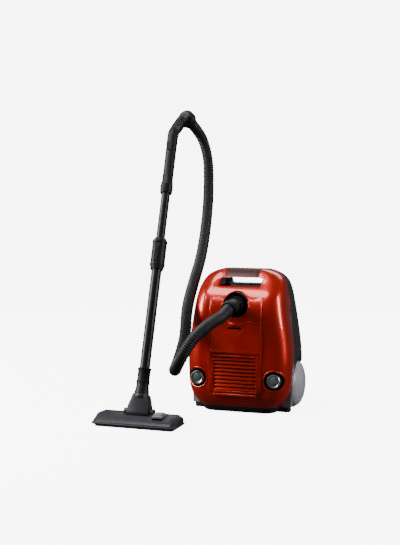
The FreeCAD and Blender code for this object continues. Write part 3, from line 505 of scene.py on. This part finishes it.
slotFinish = {
    "red_shell": "pearlRed", "grip_red": "maroonInsert", "dark_housing": "housingDark",
    "black_base": "baseBlack",
    "fender_grey": "fenderGrey", "wheel_grey": "wheelLavender", "tyre": "tyreBlack", "chrome_ring": "plated",
    "black_plastic": "satinBlack", "gloss_black": "glossBlack", "nozzle_charcoal": "headCharcoal",
    "pedal_grey": "pedalGrey", "hose_black": "hoseRubber", "inner_tube": "glossBlack", "steel": "steel",
    "rubber": "tyreBlack", "bristle": "bristle", "bag_paper": "bagPaper", "card": "card",
    "foam": "filterFoam",
    "grey_plastic": "innerGrey", "copper": "copper", "board": "boardGreen",
}
slotOf = {part["node"]: part["material_slot"] for part in frame["record"]["subparts"]}
bodyOf = {node: body for body, held in frame["record"]["behaviour"]["bodies"].items() for node in held}
for nodeName, thing in nodes.items():
    thing.data.materials.clear()
    thing.data.materials.append(finishes[slotFinish[slotOf[nodeName]]])


# Casings: copies of the frame's shells, merged, with their edges rounded.

def finishedShell(node, name, width):
    shell = copyOf(nodes[node], name)
    shell.parent = None
    mergeShell(shell)
    addBevel(shell, width, 2, 30)
    smoothBy(shell, 30)
    place(shell, name, bodyOf[node], slotOf[node], finishes[slotFinish[slotOf[node]]], (node,))


def mergeShell(thing):
    editStart(thing)
    bpy.ops.mesh.select_all(action="SELECT")
    bpy.ops.mesh.remove_doubles(threshold=2e-6)
    bpy.ops.mesh.dissolve_limited(angle_limit=math.radians(0.4))
    editEnd()


casings = {
    "upper_housing": ("redTopShell", 0.7 * mm),
    "lower_housing": ("darkUnderShell", 0.6 * mm),
    "grip_insert": ("gripInsert", 0.6 * mm),
    "bag_lid": ("bagLid", 0.6 * mm),
    "fender_left": ("fenderLeft", 0.8 * mm),
    "fender_right": ("fenderRight", 0.8 * mm),
    "standing_base": ("rearFoot", 1.0 * mm),
    "nozzle_cover": ("headCover", 1.2 * mm),
    "swivel_yoke": ("yokeBody", 1.2 * mm),
    "neck": ("neckTube", 0.6 * mm),
    "lid_latch": ("lidLatch", 0.9 * mm),
}
for node, (name, width) in casings.items():
    finishedShell(node, name, width)
print("casings rounded")


# Hose: one smooth line from the handle to the inlet.

hose = {
    "radius": 17.0 * mm, "valley": 15.0 * mm, "pitch": 6.2 * mm, "ringsPerRib": 6, "sides": 28,
    "points": [
        (-226.0, 136.6, 850.6), (-225.7, 180.2, 839.2), (-212, 226, 802), (-200, 243, 740), (-194, 232, 668),
        (-184, 192, 588), (-173, 132, 508), (-161, 56, 434), (-155, -34, 364), (-147, -118, 296),
        (-137, -154, 226), (-136, -198, 178), (-131, -252, 148), (-115, -308, 148), (-88, -344, 184),
        (-58, -340, 236), (-32, -306, 268), (-16, -262, 284), (-8.6, -216, 288.9), (-2.0, -175.4, 306.7),
    ],
}


def hoseLine():
    line = bpy.data.curves.new("hoseLine", "CURVE")
    line.dimensions = "3D"
    spline = line.splines.new("NURBS")
    spline.points.add(len(hose["points"]) - 1)
    for point, spot in zip(spline.points, hose["points"]):
        point.co = (spot[0] * mm, spot[1] * mm, spot[2] * mm, 1.0)
    spline.order_u = 3
    spline.use_endpoint_u = True
    spline.resolution_u = 24
    holder = bpy.data.objects.new("hoseLine", line)
    bpy.context.scene.collection.objects.link(holder)
    bpy.context.view_layer.update()
    flat = bpy.data.meshes.new_from_object(holder)
    spots = [vert.co.copy() for vert in flat.vertices]
    bpy.data.objects.remove(holder)
    bpy.data.meshes.remove(flat)
    return spots


def evenSteps(spots, step):
    # points a step apart along the line, each with its way
    reach = [0.0]
    for before, after in zip(spots, spots[1:]):
        reach.append(reach[-1] + (after - before).length)
    count = round(reach[-1] / step)
    result = []
    index = 0
    for number in range(count + 1):
        wanted = reach[-1] * number / count
        while index < len(reach) - 2 and reach[index + 1] < wanted:
            index += 1
        part = (wanted - reach[index]) / max(reach[index + 1] - reach[index], 1e-9)
        result.append(spots[index].lerp(spots[index + 1], part))
    ways = []
    for number in range(count + 1):
        before, after = result[max(number - 1, 0)], result[min(number + 1, count)]
        ways.append((after - before).normalized())
    return result, ways, reach[-1]


def makeHose():
    spots = hoseLine()
    centres, ways, total = evenSteps(spots, hose["pitch"] / hose["ringsPerRib"])
    side = ways[0].orthogonal().normalized()
    shape = bmesh.new()
    rings = []
    for number, (centre, way) in enumerate(zip(centres, ways)):
        side = (side - way * side.dot(way)).normalized()
        back = way.cross(side)
        ring = []
        for turn in range(hose["sides"]):
            angle = 2 * math.pi * turn / hose["sides"]
            ripple = (number / hose["ringsPerRib"] - turn / hose["sides"]) % 1.0
            crest = math.sin(math.pi * ripple) ** 1.5
            radius = hose["valley"] + (hose["radius"] - hose["valley"]) * crest
            ring.append(shape.verts.new(centre + (side * math.cos(angle) + back * math.sin(angle)) * radius))
        rings.append(ring)
    for first, second in zip(rings, rings[1:]):
        for turn in range(hose["sides"]):
            after = (turn + 1) % hose["sides"]
            shape.faces.new((first[turn], first[after], second[after], second[turn]))
    shape.faces.new(list(reversed(rings[0])))
    shape.faces.new(rings[-1])
    bmesh.ops.recalc_face_normals(shape, faces=shape.faces)
    mesh = bpy.data.meshes.new("ribbedHose")
    shape.to_mesh(mesh)
    shape.free()
    tube = bpy.data.objects.new("ribbedHose", mesh)
    bpy.context.scene.collection.objects.link(tube)
    smoothBy(tube, 60)
    mesh.materials.append(finishes["hoseRubber"])
    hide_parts("hose")
    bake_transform(tube)
    print("hose made,", round(total, 3), "m long")


makeHose()


# Small shapes that several pieces use.

def inMetres(rows):
    return [tuple(part * mm for part in row) for row in rows]


def movedCopy(thing, shift):
    double = copyOf(thing, "double")
    double.data.transform(Matrix.Translation(Vector(shift)))
    return double


def barAlong(spots, radius, closed=False, sides=3):
    # a round bead along a line of points, made a mesh
    line = bpy.data.curves.new("bead", "CURVE")
    line.dimensions = "3D"
    spline = line.splines.new("POLY")
    spline.points.add(len(spots) - 1)
    for point, spot in zip(spline.points, spots):
        point.co = (*spot, 1.0)
    spline.use_cyclic_u = closed
    line.bevel_depth = radius
    line.bevel_resolution = sides
    line.use_fill_caps = True
    holder = bpy.data.objects.new("bead", line)
    bpy.context.scene.collection.objects.link(holder)
    activate(holder)
    bpy.ops.object.convert(target="MESH")
    bead = bpy.context.object
    cleanMesh(bead, 1e-6)
    smoothBy(bead, 60)
    return bead


redMesh = nodes["upper_housing"].data
redCorners = [vert.co for vert in redMesh.vertices]
redSurface = BVHTree.FromPolygons(redCorners, [face.vertices[:] for face in redMesh.polygons])


def frontSurface(side, height):
    # how far forward the red shell reaches at one place
    spot = redSurface.ray_cast(Vector((side, -0.3, height)), Vector((0, 1, 0)), 0.35)[0]
    return spot.y if spot else None


def surfaceRing(side, height, radius, count=96, sink=0.0):
    rows = []
    for number in range(count):
        turn = 2 * math.pi * number / count
        across, up = side + radius * math.cos(turn), height + radius * math.sin(turn)
        rows.append([across, frontSurface(across, up), up])
    known = [row[1] for row in rows if row[1] is not None]
    for row in rows:
        row[1] = min(known) if row[1] is None else row[1]
    reach = 3
    smooth = [sum(rows[(number + step) % count][1] for step in range(-reach, reach + 1)) / (2 * reach + 1)
              for number in range(count)]
    return [(row[0], depth + sink, row[2]) for row, depth in zip(rows, smooth)]


# Exhaust grille: a frame with tipped slats.

grille = {"bar": 5.0 * mm, "slats": 9, "slatTall": 8.6 * mm, "slatDeep": 2.4 * mm,
          "tip": math.radians(24), "round": 1.0 * mm}


def makeGrille():
    low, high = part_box("exhaust_grille")
    bar = grille["bar"]
    parts = [
        roundedBlock((low.x, low.y, low.z), (low.x + bar, high.y, high.z), grille["round"]),
        roundedBlock((high.x - bar, low.y, low.z), (high.x, high.y, high.z), grille["round"]),
        roundedBlock((low.x, low.y, low.z), (high.x, high.y, low.z + bar), grille["round"]),
        roundedBlock((low.x, low.y, high.z - bar), (high.x, high.y, high.z), grille["round"]),
    ]
    room = high.z - low.z - 2 * bar
    pitch = room / grille["slats"]
    middle = (low.y + high.y) / 2
    for number in range(grille["slats"]):
        height = low.z + bar + pitch * (number + 0.5)
        deep, tall = grille["slatDeep"] / 2, grille["slatTall"] / 2
        slat = roundedBlock((low.x + bar / 2, middle - deep, height - tall),
                            (high.x - bar / 2, middle + deep, height + tall), grille["round"])
        editStart(slat)
        bpy.ops.mesh.select_all(action="SELECT")
        bpy.ops.transform.rotate(value=grille["tip"], orient_axis="X",
                                 center_override=(0, middle, height))
        editEnd()
        parts.append(slat)
    whole = joinPieces(parts[0], parts[1:])
    place(whole, "louvreGrille", "grille", "red_shell", finishes["pearlRed"], ("exhaust_grille",))


makeGrille()
print("grille made")


# Power and rewind knobs, and the lips round their wells.

knob = {"radius": 20.5 * mm, "dish": 12.0 * mm, "lip": 29.4 * mm, "lipThick": 2.0 * mm, "side": 113 * mm,
        "height": 100 * mm, "post": 4 * mm, "springRoom": 8.6 * mm}


def makeKnob(word, side):
    low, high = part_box(f"{word}_button")
    base = Vector((side, high.y, knob["height"]))
    reach = high.y - low.y
    rim = knob["radius"]
    post, room = knob["post"], knob["springRoom"]
    ring = [(0, 0), (post, 0), (post, 18.6 * mm), (room, 18.6 * mm), (room, 14 * mm), (rim - 1 * mm, 14 * mm)]
    ring += [(rim, 15 * mm), (rim, reach - 5.5 * mm), (rim - 0.5 * mm, reach - 3.2 * mm)]
    ring += [(rim - 1.8 * mm, reach - 1.6 * mm), (rim - 3.4 * mm, reach - 1.1 * mm)]
    ring += [(rim - 4.8 * mm, reach - 1.7 * mm), (knob["dish"], reach - 3.4 * mm)]
    ring += [(knob["dish"] - 0.4 * mm, reach - 5 * mm), (0, reach - 5 * mm)]
    body = turnedPiece(ring, base, (0, -1, 0), 72, False)
    place(body, f"{word}Ring", f"{word}_key", "chrome_ring", finishes["plated"], (f"{word}_button",))
    disc = [(0, reach - 5.1 * mm), (11.5 * mm, reach - 5.1 * mm), (11.5 * mm, reach - 2.6 * mm)]
    disc += [(10.8 * mm, reach - 1.8 * mm), (10.5 * mm, reach - 1.2 * mm), (10.0 * mm, reach - 1.7 * mm)]
    disc += [(9.4 * mm, reach - 1.1 * mm), (5.0 * mm, reach - 0.4 * mm), (0, reach)]
    face = turnedPiece(disc, base, (0, -1, 0), 72, False)
    place(face, f"{word}Disc", f"{word}_key", "fender_grey", finishes["knobGreen"])
    lip = barAlong(surfaceRing(side, knob["height"], knob["lip"], sink=0.4 * mm), knob["lipThick"], True)
    place(lip, f"{word}WellLip", "root", "red_shell", finishes["pearlRed"])


for word, side in (("power", -knob["side"]), ("rewind", knob["side"])):
    makeKnob(word, side)

inletLip = {"radius": 38.4 * mm, "thick": 1.9 * mm, "height": 312 * mm}
lip = barAlong(surfaceRing(0, inletLip["height"], inletLip["radius"], 120, 0.3 * mm), inletLip["thick"], True)
place(lip, "inletLip", "root", "red_shell", finishes["pearlRed"])

ridge = {"side": 75.2 * mm, "low": 62 * mm, "high": 331 * mm, "thick": 1.7 * mm, "steps": 60}
for side, name in ((-1, "coverRidgeLeft"), (1, "coverRidgeRight")):
    spots = []
    for number in range(ridge["steps"] + 1):
        height = ridge["low"] + (ridge["high"] - ridge["low"]) * number / ridge["steps"]
        spots.append((side * ridge["side"], frontSurface(side * ridge["side"], height) + 0.5 * mm, height))
    place(barAlong(spots, ridge["thick"]), name, "root", "red_shell", finishes["pearlRed"])
print("knobs, lips and ridges made")


# Wheels and tyres.

wheel = {"rim": 67 * mm, "bore": 6.05 * mm, "rings": (59, 47, 35, 23), "ringDeep": 0.9 * mm}


def domeHeight(radius):
    # the wheel's outer face, from the rim in to the middle
    knots = [(67, 22), (65, 27), (58, 34), (46, 40), (30, 44), (16, 45.4), (0, 46)]
    for (outer, low), (inner, high) in zip(knots, knots[1:]):
        if radius >= inner:
            part = (outer - radius) / (outer - inner)
            return low + (high - low) * part
    return knots[-1][1]


def makeWheel(word, side):
    low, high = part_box(f"wheel_{word}")
    middle = (low + high) / 2
    start = low.x if side > 0 else high.x
    base = (start, middle.y, middle.z)
    profile = [(wheel["bore"], 0), (22 * mm, 0), (22 * mm, 6 * mm), (61 * mm, 6 * mm), (61 * mm, 0)]
    profile.append((wheel["rim"], 0))
    radius = 67.0
    while radius > 0:
        height = domeHeight(radius)
        near = min(abs(radius - ring) for ring in wheel["rings"])
        if near < 1.0:
            height -= wheel["ringDeep"] / mm * (1.0 - near)
        profile.append((radius * mm, height * mm))
        radius -= 0.8 if near < 2.0 else 2.4
    profile += [(0, 46 * mm), (0, 42.4 * mm), (wheel["bore"], 42.4 * mm)]
    face = turnedPiece(profile, base, (side, 0, 0), 96, True)
    body = f"wheel_{word}_body"
    place(face, f"wheelFace{word.title()}", body, "wheel_grey", finishes["wheelLavender"], (f"wheel_{word}",))
    tread = [(wheel["rim"], 2 * mm)]
    tread += inMetres([(69.4, 1.9), (70.6, 2.6), (71, 4), (71, 7.4), (69.9, 7.9), (69.9, 8.8), (71, 9.3)])
    tread += inMetres([(71, 12.2), (69.9, 12.7), (69.9, 13.6), (71, 14.1), (71, 17), (70.4, 18.4), (69, 19)])
    tread += [(wheel["rim"], 19 * mm)]
    tyre = turnedPiece(tread, base, (side, 0, 0), 120, True)
    place(tyre, f"tyre{word.title()}", body, "tyre", finishes["tyreBlack"], (f"tyre_{word}",))


makeWheel("right", 1)
makeWheel("left", -1)
print("wheels made")


# Wand: bands and ribs that ride on its parts.

wandWay = Vector(jointsByName["neck_swivel"]["axis"]).normalized()
wandBase = Vector(jointsByName["neck_swivel"]["pos_m"])
wandSide = Vector((wandWay.z, 0, -wandWay.x)).normalized()
wandBack = wandWay.cross(wandSide)


def onWand(across, back, along):
    return wandBase + wandSide * (across * mm) + wandBack * (back * mm) + wandWay * (along * mm)


def wandRing(name, rows, start, body):
    ring = turnedPiece(inMetres(rows), onWand(0, 0, start), wandWay, 64, True)
    place(ring, name, body, "black_plastic", finishes["satinBlack"])


def ribRows(inner, outer, count, pitch):
    rows = [(inner, 0)]
    for number in range(count):
        up = number * pitch
        rows += [(outer - 0.7, up + 0.2), (outer, up + pitch * 0.3)]
        rows += [(outer, up + pitch * 0.6), (outer - 0.7, up + pitch * 0.85)]
    return rows + [(inner, count * pitch)]


bandRows = [(20.4, 0), (21.5, 0.6), (21.9, 2.4), (21.9, 4.6), (21.5, 6.4), (20.4, 7.0)]
wandRings = {
    "sleeveRibs": (ribRows(16.5, 18.4, 5, 4.4), 648, "upper_wand"),
    "collarBandLow": (bandRows, 421, "root"),
    "collarBandHigh": (bandRows, 489, "root"),
    "neckRibs": (ribRows(17.0, 18.6, 3, 4.0), 78, "neck_joint"),
}
for name, (rows, start, body) in wandRings.items():
    wandRing(name, rows, start, body)


buttonRidge = {"count": 6, "start": 438, "pitch": 5.2, "half": 4.6, "front": -23.4, "thick": 0.7 * mm}


def makeButtonRidges():
    bars = []
    for number in range(buttonRidge["count"]):
        along = buttonRidge["start"] + number * buttonRidge["pitch"]
        acrosses = (-buttonRidge["half"], 0, buttonRidge["half"])
        spots = [onWand(across, buttonRidge["front"], along) for across in acrosses]
        bars.append(barAlong(spots, buttonRidge["thick"]))
    whole = joinPieces(bars[0], bars[1:])
    place(whole, "collarButtonRidges", "collar_key", "gloss_black", finishes["glossBlack"])


makeButtonRidges()


handle = {"top": 836, "bend": 95, "turn": math.radians(82), "corner": 16 * mm, "sides": 40, "ribs": 5,
          "firstRib": 30 * mm, "ribPitch": 13 * mm, "cuffGap": 1.0 * mm, "cuffRibs": 6, "cuffPitch": 3.1}


def gripEnd():
    # where the grip's bend ends, and its way there
    turn = handle["turn"]
    way = wandBack * math.sin(turn) + wandWay * math.cos(turn)
    outward = wandBack * -math.cos(turn) + wandWay * math.sin(turn)
    return onWand(0, handle["bend"], handle["top"]) + outward * (handle["bend"] * mm), way


def makeCuff():
    end, way = gripEnd()
    rows = [(16.05, 0), (19.2, 0), (20.4, 0.6), (24.2, 4.6), (25.6, 6.2)]
    for number in range(handle["cuffRibs"]):
        up = 7.0 + number * handle["cuffPitch"]
        rows += [(25.2, up), (26.0, up + 0.7), (26.0, up + 1.7), (25.2, up + 2.4)]
    rows += [(25.4, 26.4), (23.6, 30.6), (22.2, 34.0), (21.6, 36.0), (22.3, 37.0), (22.3, 38.6), (21.4, 40.0)]
    rows += [(17.2, 40.0), (17.2, 22.0), (16.05, 22.0)]
    piece = turnedPiece(inMetres(rows), end + way * handle["cuffGap"], way, 72, True)
    place(piece, "ribbedCuff", "upper_wand", "black_plastic", finishes["satinBlack"], ("swivel_cuff",))


makeCuff()
print("wand details made")


# Handle: a straight sleeve, one firm bend, and the grip that leads into the cuff.

def makeHandle():
    top = onWand(0, 0, handle["top"])
    end, endWay = gripEnd()
    last = end - endWay * (6 * mm)
    gripWay = (last - top).normalized()
    reach = (last - top).length / mm
    sleeve = [(643, 16.9), (644.2, 17.5), (676, 17.5), (677.6, 16.8), (680, 16.0), (720, 15.7), (770, 15.9)]
    sleeve += [(806, 16.2), (819, 16.3)]
    stations = []
    for along, radius in sleeve:
        stations.append((onWand(0, 0, along), wandWay, radius, radius))
    corner = handle["corner"]
    for part in (0.0, 0.25, 0.5, 0.75, 1.0):
        before, after = top - wandWay * corner, top + gripWay * corner
        spot = before.lerp(top, part).lerp(top.lerp(after, part), part)
        deep = 16.3 + 1.2 * math.sin(math.pi * part)
        stations.append((spot, wandWay.lerp(gripWay, part).normalized(), 16.3, deep))
    for share, wide, deep in ((0.25, 15.6, 16.2), (0.5, 15.0, 16.0), (0.75, 15.2, 15.8), (0.92, 15.8, 16.0)):
        stations.append((top + gripWay * (reach * share * mm), gripWay, wide, deep))
    stations.append((last + endWay * 1 * mm, gripWay.lerp(endWay, 0.6).normalized(), 16.0, 16.0))
    stations.append((end + endWay * 2 * mm, endWay, 16.0, 16.0))
    stations.append((end + endWay * 22 * mm, endWay, 16.0, 16.0))
    sized = [(spot, way, wide * mm, deep * mm) for spot, way, wide, deep in stations]
    tube = sweptPiece(sized, handle["sides"])
    place(tube, "bentHandle", "upper_wand", "black_plastic", finishes["satinBlack"], ("handle",))
    rib = inMetres([(13.5, 0), (16.5, 0.2), (17.2, 1.4), (17.2, 2.6), (16.5, 3.8), (13.5, 4)])
    for number in range(handle["ribs"]):
        spot = top + gripWay * (handle["firstRib"] + number * handle["ribPitch"])
        ring = turnedPiece(rib, spot, gripWay, 56, True)
        place(ring, f"gripRib{number}", "upper_wand", "black_plastic", finishes["satinBlack"])


makeHandle()
print("handle made")


# Hose elbow: ribs behind its lip, and the two catches that hold it in the inlet.

elbow = {"end": (-0.0020, -0.1754, 0.3067), "way": (-0.148, -0.906, -0.396),
         "catch": (6.5 * mm, 13 * mm, 20 * mm),
         "catchSide": 21.5 * mm, "catchFront": -141 * mm}


def makeElbowTrim():
    back = -Vector(elbow["way"]).normalized()
    rows = [(19.0, -1.0), (21.2, -1.0), (22.2, 0.4), (22.2, 3.0), (21.6, 3.6), (22.2, 4.2), (22.2, 7.0)]
    rows += [(21.6, 7.6), (22.2, 8.2), (22.2, 11.4), (21.4, 13.2), (20.0, 14.2), (19.0, 14.2)]
    trim = turnedPiece(inMetres(rows), elbow["end"], back, 64, True)
    place(trim, "elbowCollar", "root", "black_plastic", finishes["satinBlack"])
    wide, deep, tall = elbow["catch"]
    for side, name in ((-1, "elbowCatchLeft"), (1, "elbowCatchRight")):
        left = side * elbow["catchSide"] - wide / 2
        low = Vector((left, elbow["catchFront"], inletLip["height"] - tall / 2))
        tab = roundedBlock(low, low + Vector((wide, deep, tall)), 1.8 * mm, 4)
        place(tab, name, "root", "black_plastic", finishes["glossBlack"])


makeElbowTrim()
print("elbow made")


# Floor head: bumper, pedal with ridges, and the two rows of bristle.

head = {"bumper": 2.6 * mm, "bumperHeight": 8.5 * mm, "tuftPitch": 3.0 * mm, "tuftRadius": 1.15 * mm,
        "pedalRidges": 7}


def makeBumper():
    low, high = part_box("nozzle_cover")
    inset = 9 * mm
    front, back = low.y + 0.6 * mm, high.y - 6 * mm
    height = head["bumperHeight"]
    half = (high.x - low.x) / 2
    middle = (low.x + high.x) / 2
    corners = [(half - 0.2 * mm, back), (half - 0.2 * mm, front + inset), (half - 3.2 * mm, front + 3.0 * mm)]
    corners.append((half - inset - 6 * mm, front - 0.2 * mm))
    corners = [(-across, depth) for across, depth in corners] + corners[::-1]
    corners = [(middle + across, depth) for across, depth in corners]
    strip = barAlong([(across, depth, height) for across, depth in corners], head["bumper"])
    place(strip, "bumperStrip", "floor_head", "rubber", finishes["tyreBlack"])


def makePedal():
    low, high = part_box("brush_pedal")
    pivot = Vector(jointsByName["pedal_rock"]["pos_m"])
    block = roundedBlock((low.x, low.y, pivot.z), (high.x, high.y, pivot.z + 6.5 * mm), 1.4 * mm, 4)
    ridges = [block]
    for number in range(head["pedalRidges"]):
        along = low.y + 6 * mm + number * 5.4 * mm
        rise = 6.6 * mm + 2.4 * mm * (1 - abs(along - pivot.y) / (22 * mm))
        spots = [(low.x + 3 * mm, along, pivot.z + rise), (high.x - 3 * mm, along, pivot.z + rise)]
        ridges.append(barAlong(spots, 1.3 * mm))
    crown = roundedBlock((low.x + 1.5 * mm, pivot.y - 14 * mm, pivot.z + 2 * mm),
                         (high.x - 1.5 * mm, pivot.y + 14 * mm, pivot.z + 11 * mm), 2.4 * mm, 4)
    ridges.append(crown)
    wide = high.x - low.x
    hubRows = [(2.05 * mm, 0), (4.5 * mm, 0), (4.5 * mm, wide), (2.05 * mm, wide)]
    hub = turnedPiece(hubRows, (low.x, pivot.y, pivot.z), (1, 0, 0), 32, True)
    ridges.append(hub)
    whole = joinPieces(ridges[0], ridges[1:])
    place(whole, "ridgedPedal", "pedal", "pedal_grey", finishes["pedalGrey"], ("brush_pedal",))


def makeTuft():
    deselectAll()
    bpy.ops.mesh.primitive_cone_add(vertices=7, radius1=head["tuftRadius"], radius2=0.75 * mm, depth=4.6 * mm,
                                    location=(0, 0, 0), end_fill_type="NGON")
    tuft = bpy.context.object
    editStart(tuft)
    bpy.ops.mesh.select_all(action="SELECT")
    bpy.ops.mesh.subdivide(number_cuts=1)
    editEnd()
    return tuft


def makeBrushes():
    low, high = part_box("brush_strips")
    rows = []
    for depth in (low.y, high.y - 4 * mm):
        rows.append(roundedBlock((low.x, depth + 0.4 * mm, low.z + 3.4 * mm),
                                 (high.x, depth + 3.6 * mm, high.z - 2.8 * mm), 0.4 * mm, 2))
        tuft = makeTuft()
        tuft.data.transform(Matrix.Rotation(math.pi, 4, "X"))
        count = int((high.x - low.x - 4 * mm) / head["tuftPitch"])
        for number in range(count + 1):
            lean = 0.25 * mm * math.sin(number * 2.4)
            across = low.x + 2 * mm + number * head["tuftPitch"]
            rows.append(movedCopy(tuft, (across, depth + 2 * mm + lean, low.z + 2.3 * mm)))
        bpy.data.objects.remove(tuft)
    for start in (low.x, high.x - 4 * mm):
        rows.append(roundedBlock((start, low.y + 1 * mm, high.z - 3.0 * mm),
                                 (start + 4 * mm, high.y - 1 * mm, high.z), 0.5 * mm, 2))
    whole = joinPieces(rows[0], rows[1:])
    place(whole, "bristleRows", "brushes", "bristle", finishes["bristle"], ("brush_strips",))


makeBumper()
makePedal()
makeBrushes()
print("floor head made")


# Dust bag: pleated paper, its sides tucked in and its face full of small creases.

bag = {"tuck": 15 * mm, "crease": 2.2 * mm, "swell": 3.5 * mm}


def makeDustBag():
    low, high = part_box("dust_bag")
    middle = (low + high) / 2
    half = (high - low) / 2
    bulk = roundedBlock(low + Vector((3, 3, 3)) * mm, high - Vector((3, 3, 3)) * mm, 16 * mm, 4)
    editStart(bulk)
    bpy.ops.mesh.select_all(action="SELECT")
    bpy.ops.mesh.subdivide(number_cuts=7)
    editEnd()
    cleanMesh(bulk, 1e-5)
    shape = bmesh.new()
    shape.from_mesh(bulk.data)
    for vert in shape.verts:
        spot = vert.co - middle
        across, deep, tall = spot.x / half.x, spot.y / half.y, spot.z / half.z
        tuck = max(0.0, abs(across) - 0.72) / 0.28 * max(0.0, 1 - abs(deep) * 1.6) * max(0.0, 1 - tall * tall)
        vert.co.x -= math.copysign(bag["tuck"] * tuck, spot.x)
        belly = (1 - across * across) * (1 - tall * tall)
        vert.co.y += math.copysign(1.0, spot.y) * (bag["swell"] * belly - bag["swell"]) * 0.8
        for tilt, size, share in ((0.6, 46.0, 1.0), (-1.1, 71.0, 0.6), (2.2, 108.0, 0.4)):
            along = spot.x * math.cos(tilt) + spot.z * math.sin(tilt) + 0.7 * spot.y
            wave = math.sin(along * size * 2.1 + tilt)
            vert.co += vert.normal * (bag["crease"] * share * (abs(wave) - 0.9) * 0.5)
    shape.to_mesh(bulk.data)
    shape.free()
    smoothBy(bulk, 50)
    place(bulk, "paperBag", "root", "bag_paper", finishes["bagPaper"], ("dust_bag",))


makeDustBag()
print("dust bag made")


# Studio: pale floor that curves up into a backdrop, soft lamps, and the camera.

studio = {"floorWide": 16.0, "floorFront": -8.0, "floorBack": 5.0, "wallTop": 5.0, "curve": 1.2,
          "cameraPlace": (0.80884, -2.82077, 0.62374), "cameraTurn": 18.698, "cameraTilt": 4.437,
          "lens": 66.055, "glow": 7.0}


def makeBackdrop():
    deselectAll()
    floorMiddle = (studio["floorFront"] + studio["floorBack"]) / 2
    bpy.ops.mesh.primitive_plane_add(size=1, location=(0, floorMiddle, 0))
    drop = bpy.context.object
    drop.scale = (studio["floorWide"], studio["floorBack"] - studio["floorFront"], 1)
    bakePlace(drop)
    editStart(drop, "EDGE")
    bpy.ops.mesh.select_all(action="DESELECT")
    shape = bmesh.from_edit_mesh(drop.data)
    for edge in shape.edges:
        if all(vert.co.y > studio["floorBack"] - 0.01 for vert in edge.verts):
            edge.select_set(True)
    bmesh.update_edit_mesh(drop.data)
    bpy.ops.mesh.extrude_region_move(TRANSFORM_OT_translate={"value": (0, 0, studio["wallTop"])})
    editEnd()
    bend = drop.modifiers.new("coveCurve", "BEVEL")
    bend.width = studio["curve"]
    bend.segments = 12
    bend.limit_method = "ANGLE"
    applyModifiers(drop)
    smoothBy(drop, 60)
    drop.name = "studioFloor"
    paint = bpy.data.materials.new("floorPaint")
    paint.use_nodes = True
    tree = paint.node_tree
    shader = tree.nodes["Principled BSDF"]
    spot = tree.nodes.new("ShaderNodeTexCoord").outputs["Object"]
    tree.links.new(mixColour(tree, noiseNode(tree, spot, 1.5), (0.90, 0.90, 0.90), (0.94, 0.94, 0.94)),
                   shader.inputs["Base Color"])
    rough = mathNode(tree, "MULTIPLY_ADD", noiseNode(tree, spot, 40.0), 0.1, 0.6)
    tree.links.new(rough, shader.inputs["Roughness"])
    shader.inputs["Emission Color"].default_value = (1.0, 1.0, 1.0, 1.0)
    shader.inputs["Emission Strength"].default_value = studio["glow"]
    drop.data.materials.append(paint)
    drop.visible_diffuse = False
    drop.visible_glossy = False


def softLamp(name, spot, aim, wide, tall, power):
    lamp = bpy.data.lights.new(name, "AREA")
    lamp.shape = "RECTANGLE"
    lamp.size = wide
    lamp.size_y = tall
    lamp.energy = power
    holder = bpy.data.objects.new(name, lamp)
    holder.location = spot
    holder.rotation_mode = "QUATERNION"
    holder.rotation_quaternion = (Vector(aim) - Vector(spot)).to_track_quat("-Z", "Y")
    bpy.context.scene.collection.objects.link(holder)


makeBackdrop()
middle = Vector((-0.09, -0.1, 0.35))
softLamp("keyLamp", (-2.3, -1.1, 1.5), middle, 1.2, 1.8, 105)
softLamp("topLamp", (-0.7, -0.7, 2.5), middle, 1.5, 0.8, 30)
softLamp("rimLamp", (2.1, -0.2, 1.0), middle, 0.3, 1.5, 26)
softLamp("backLamp", (0.0, 2.4, 2.6), (0, 0.2, 0.2), 3.0, 1.2, 40)

world = bpy.data.worlds.new("studioAir")
bpy.context.scene.world = world
world.use_nodes = True
air = world.node_tree.nodes["Background"]
air.inputs["Color"].default_value = (1.0, 1.0, 1.0, 1.0)
seen = world.node_tree.nodes.new("ShaderNodeLightPath").outputs["Is Camera Ray"]
brightness = mathNode(world.node_tree, "MULTIPLY_ADD", seen, studio["glow"], 0.05)
world.node_tree.links.new(brightness, air.inputs["Strength"])

lens = bpy.data.cameras.new("frontCamera")
lens.lens = studio["lens"]
lens.sensor_width = 36.0
lens.clip_end = 50.0
viewer = bpy.data.objects.new("frontCamera", lens)
viewer.location = studio["cameraPlace"]
viewer.rotation_euler = (math.radians(90 - studio["cameraTilt"]), 0, math.radians(studio["cameraTurn"]))
bpy.context.scene.collection.objects.link(viewer)
bpy.context.scene.camera = viewer
print("studio and camera ready")
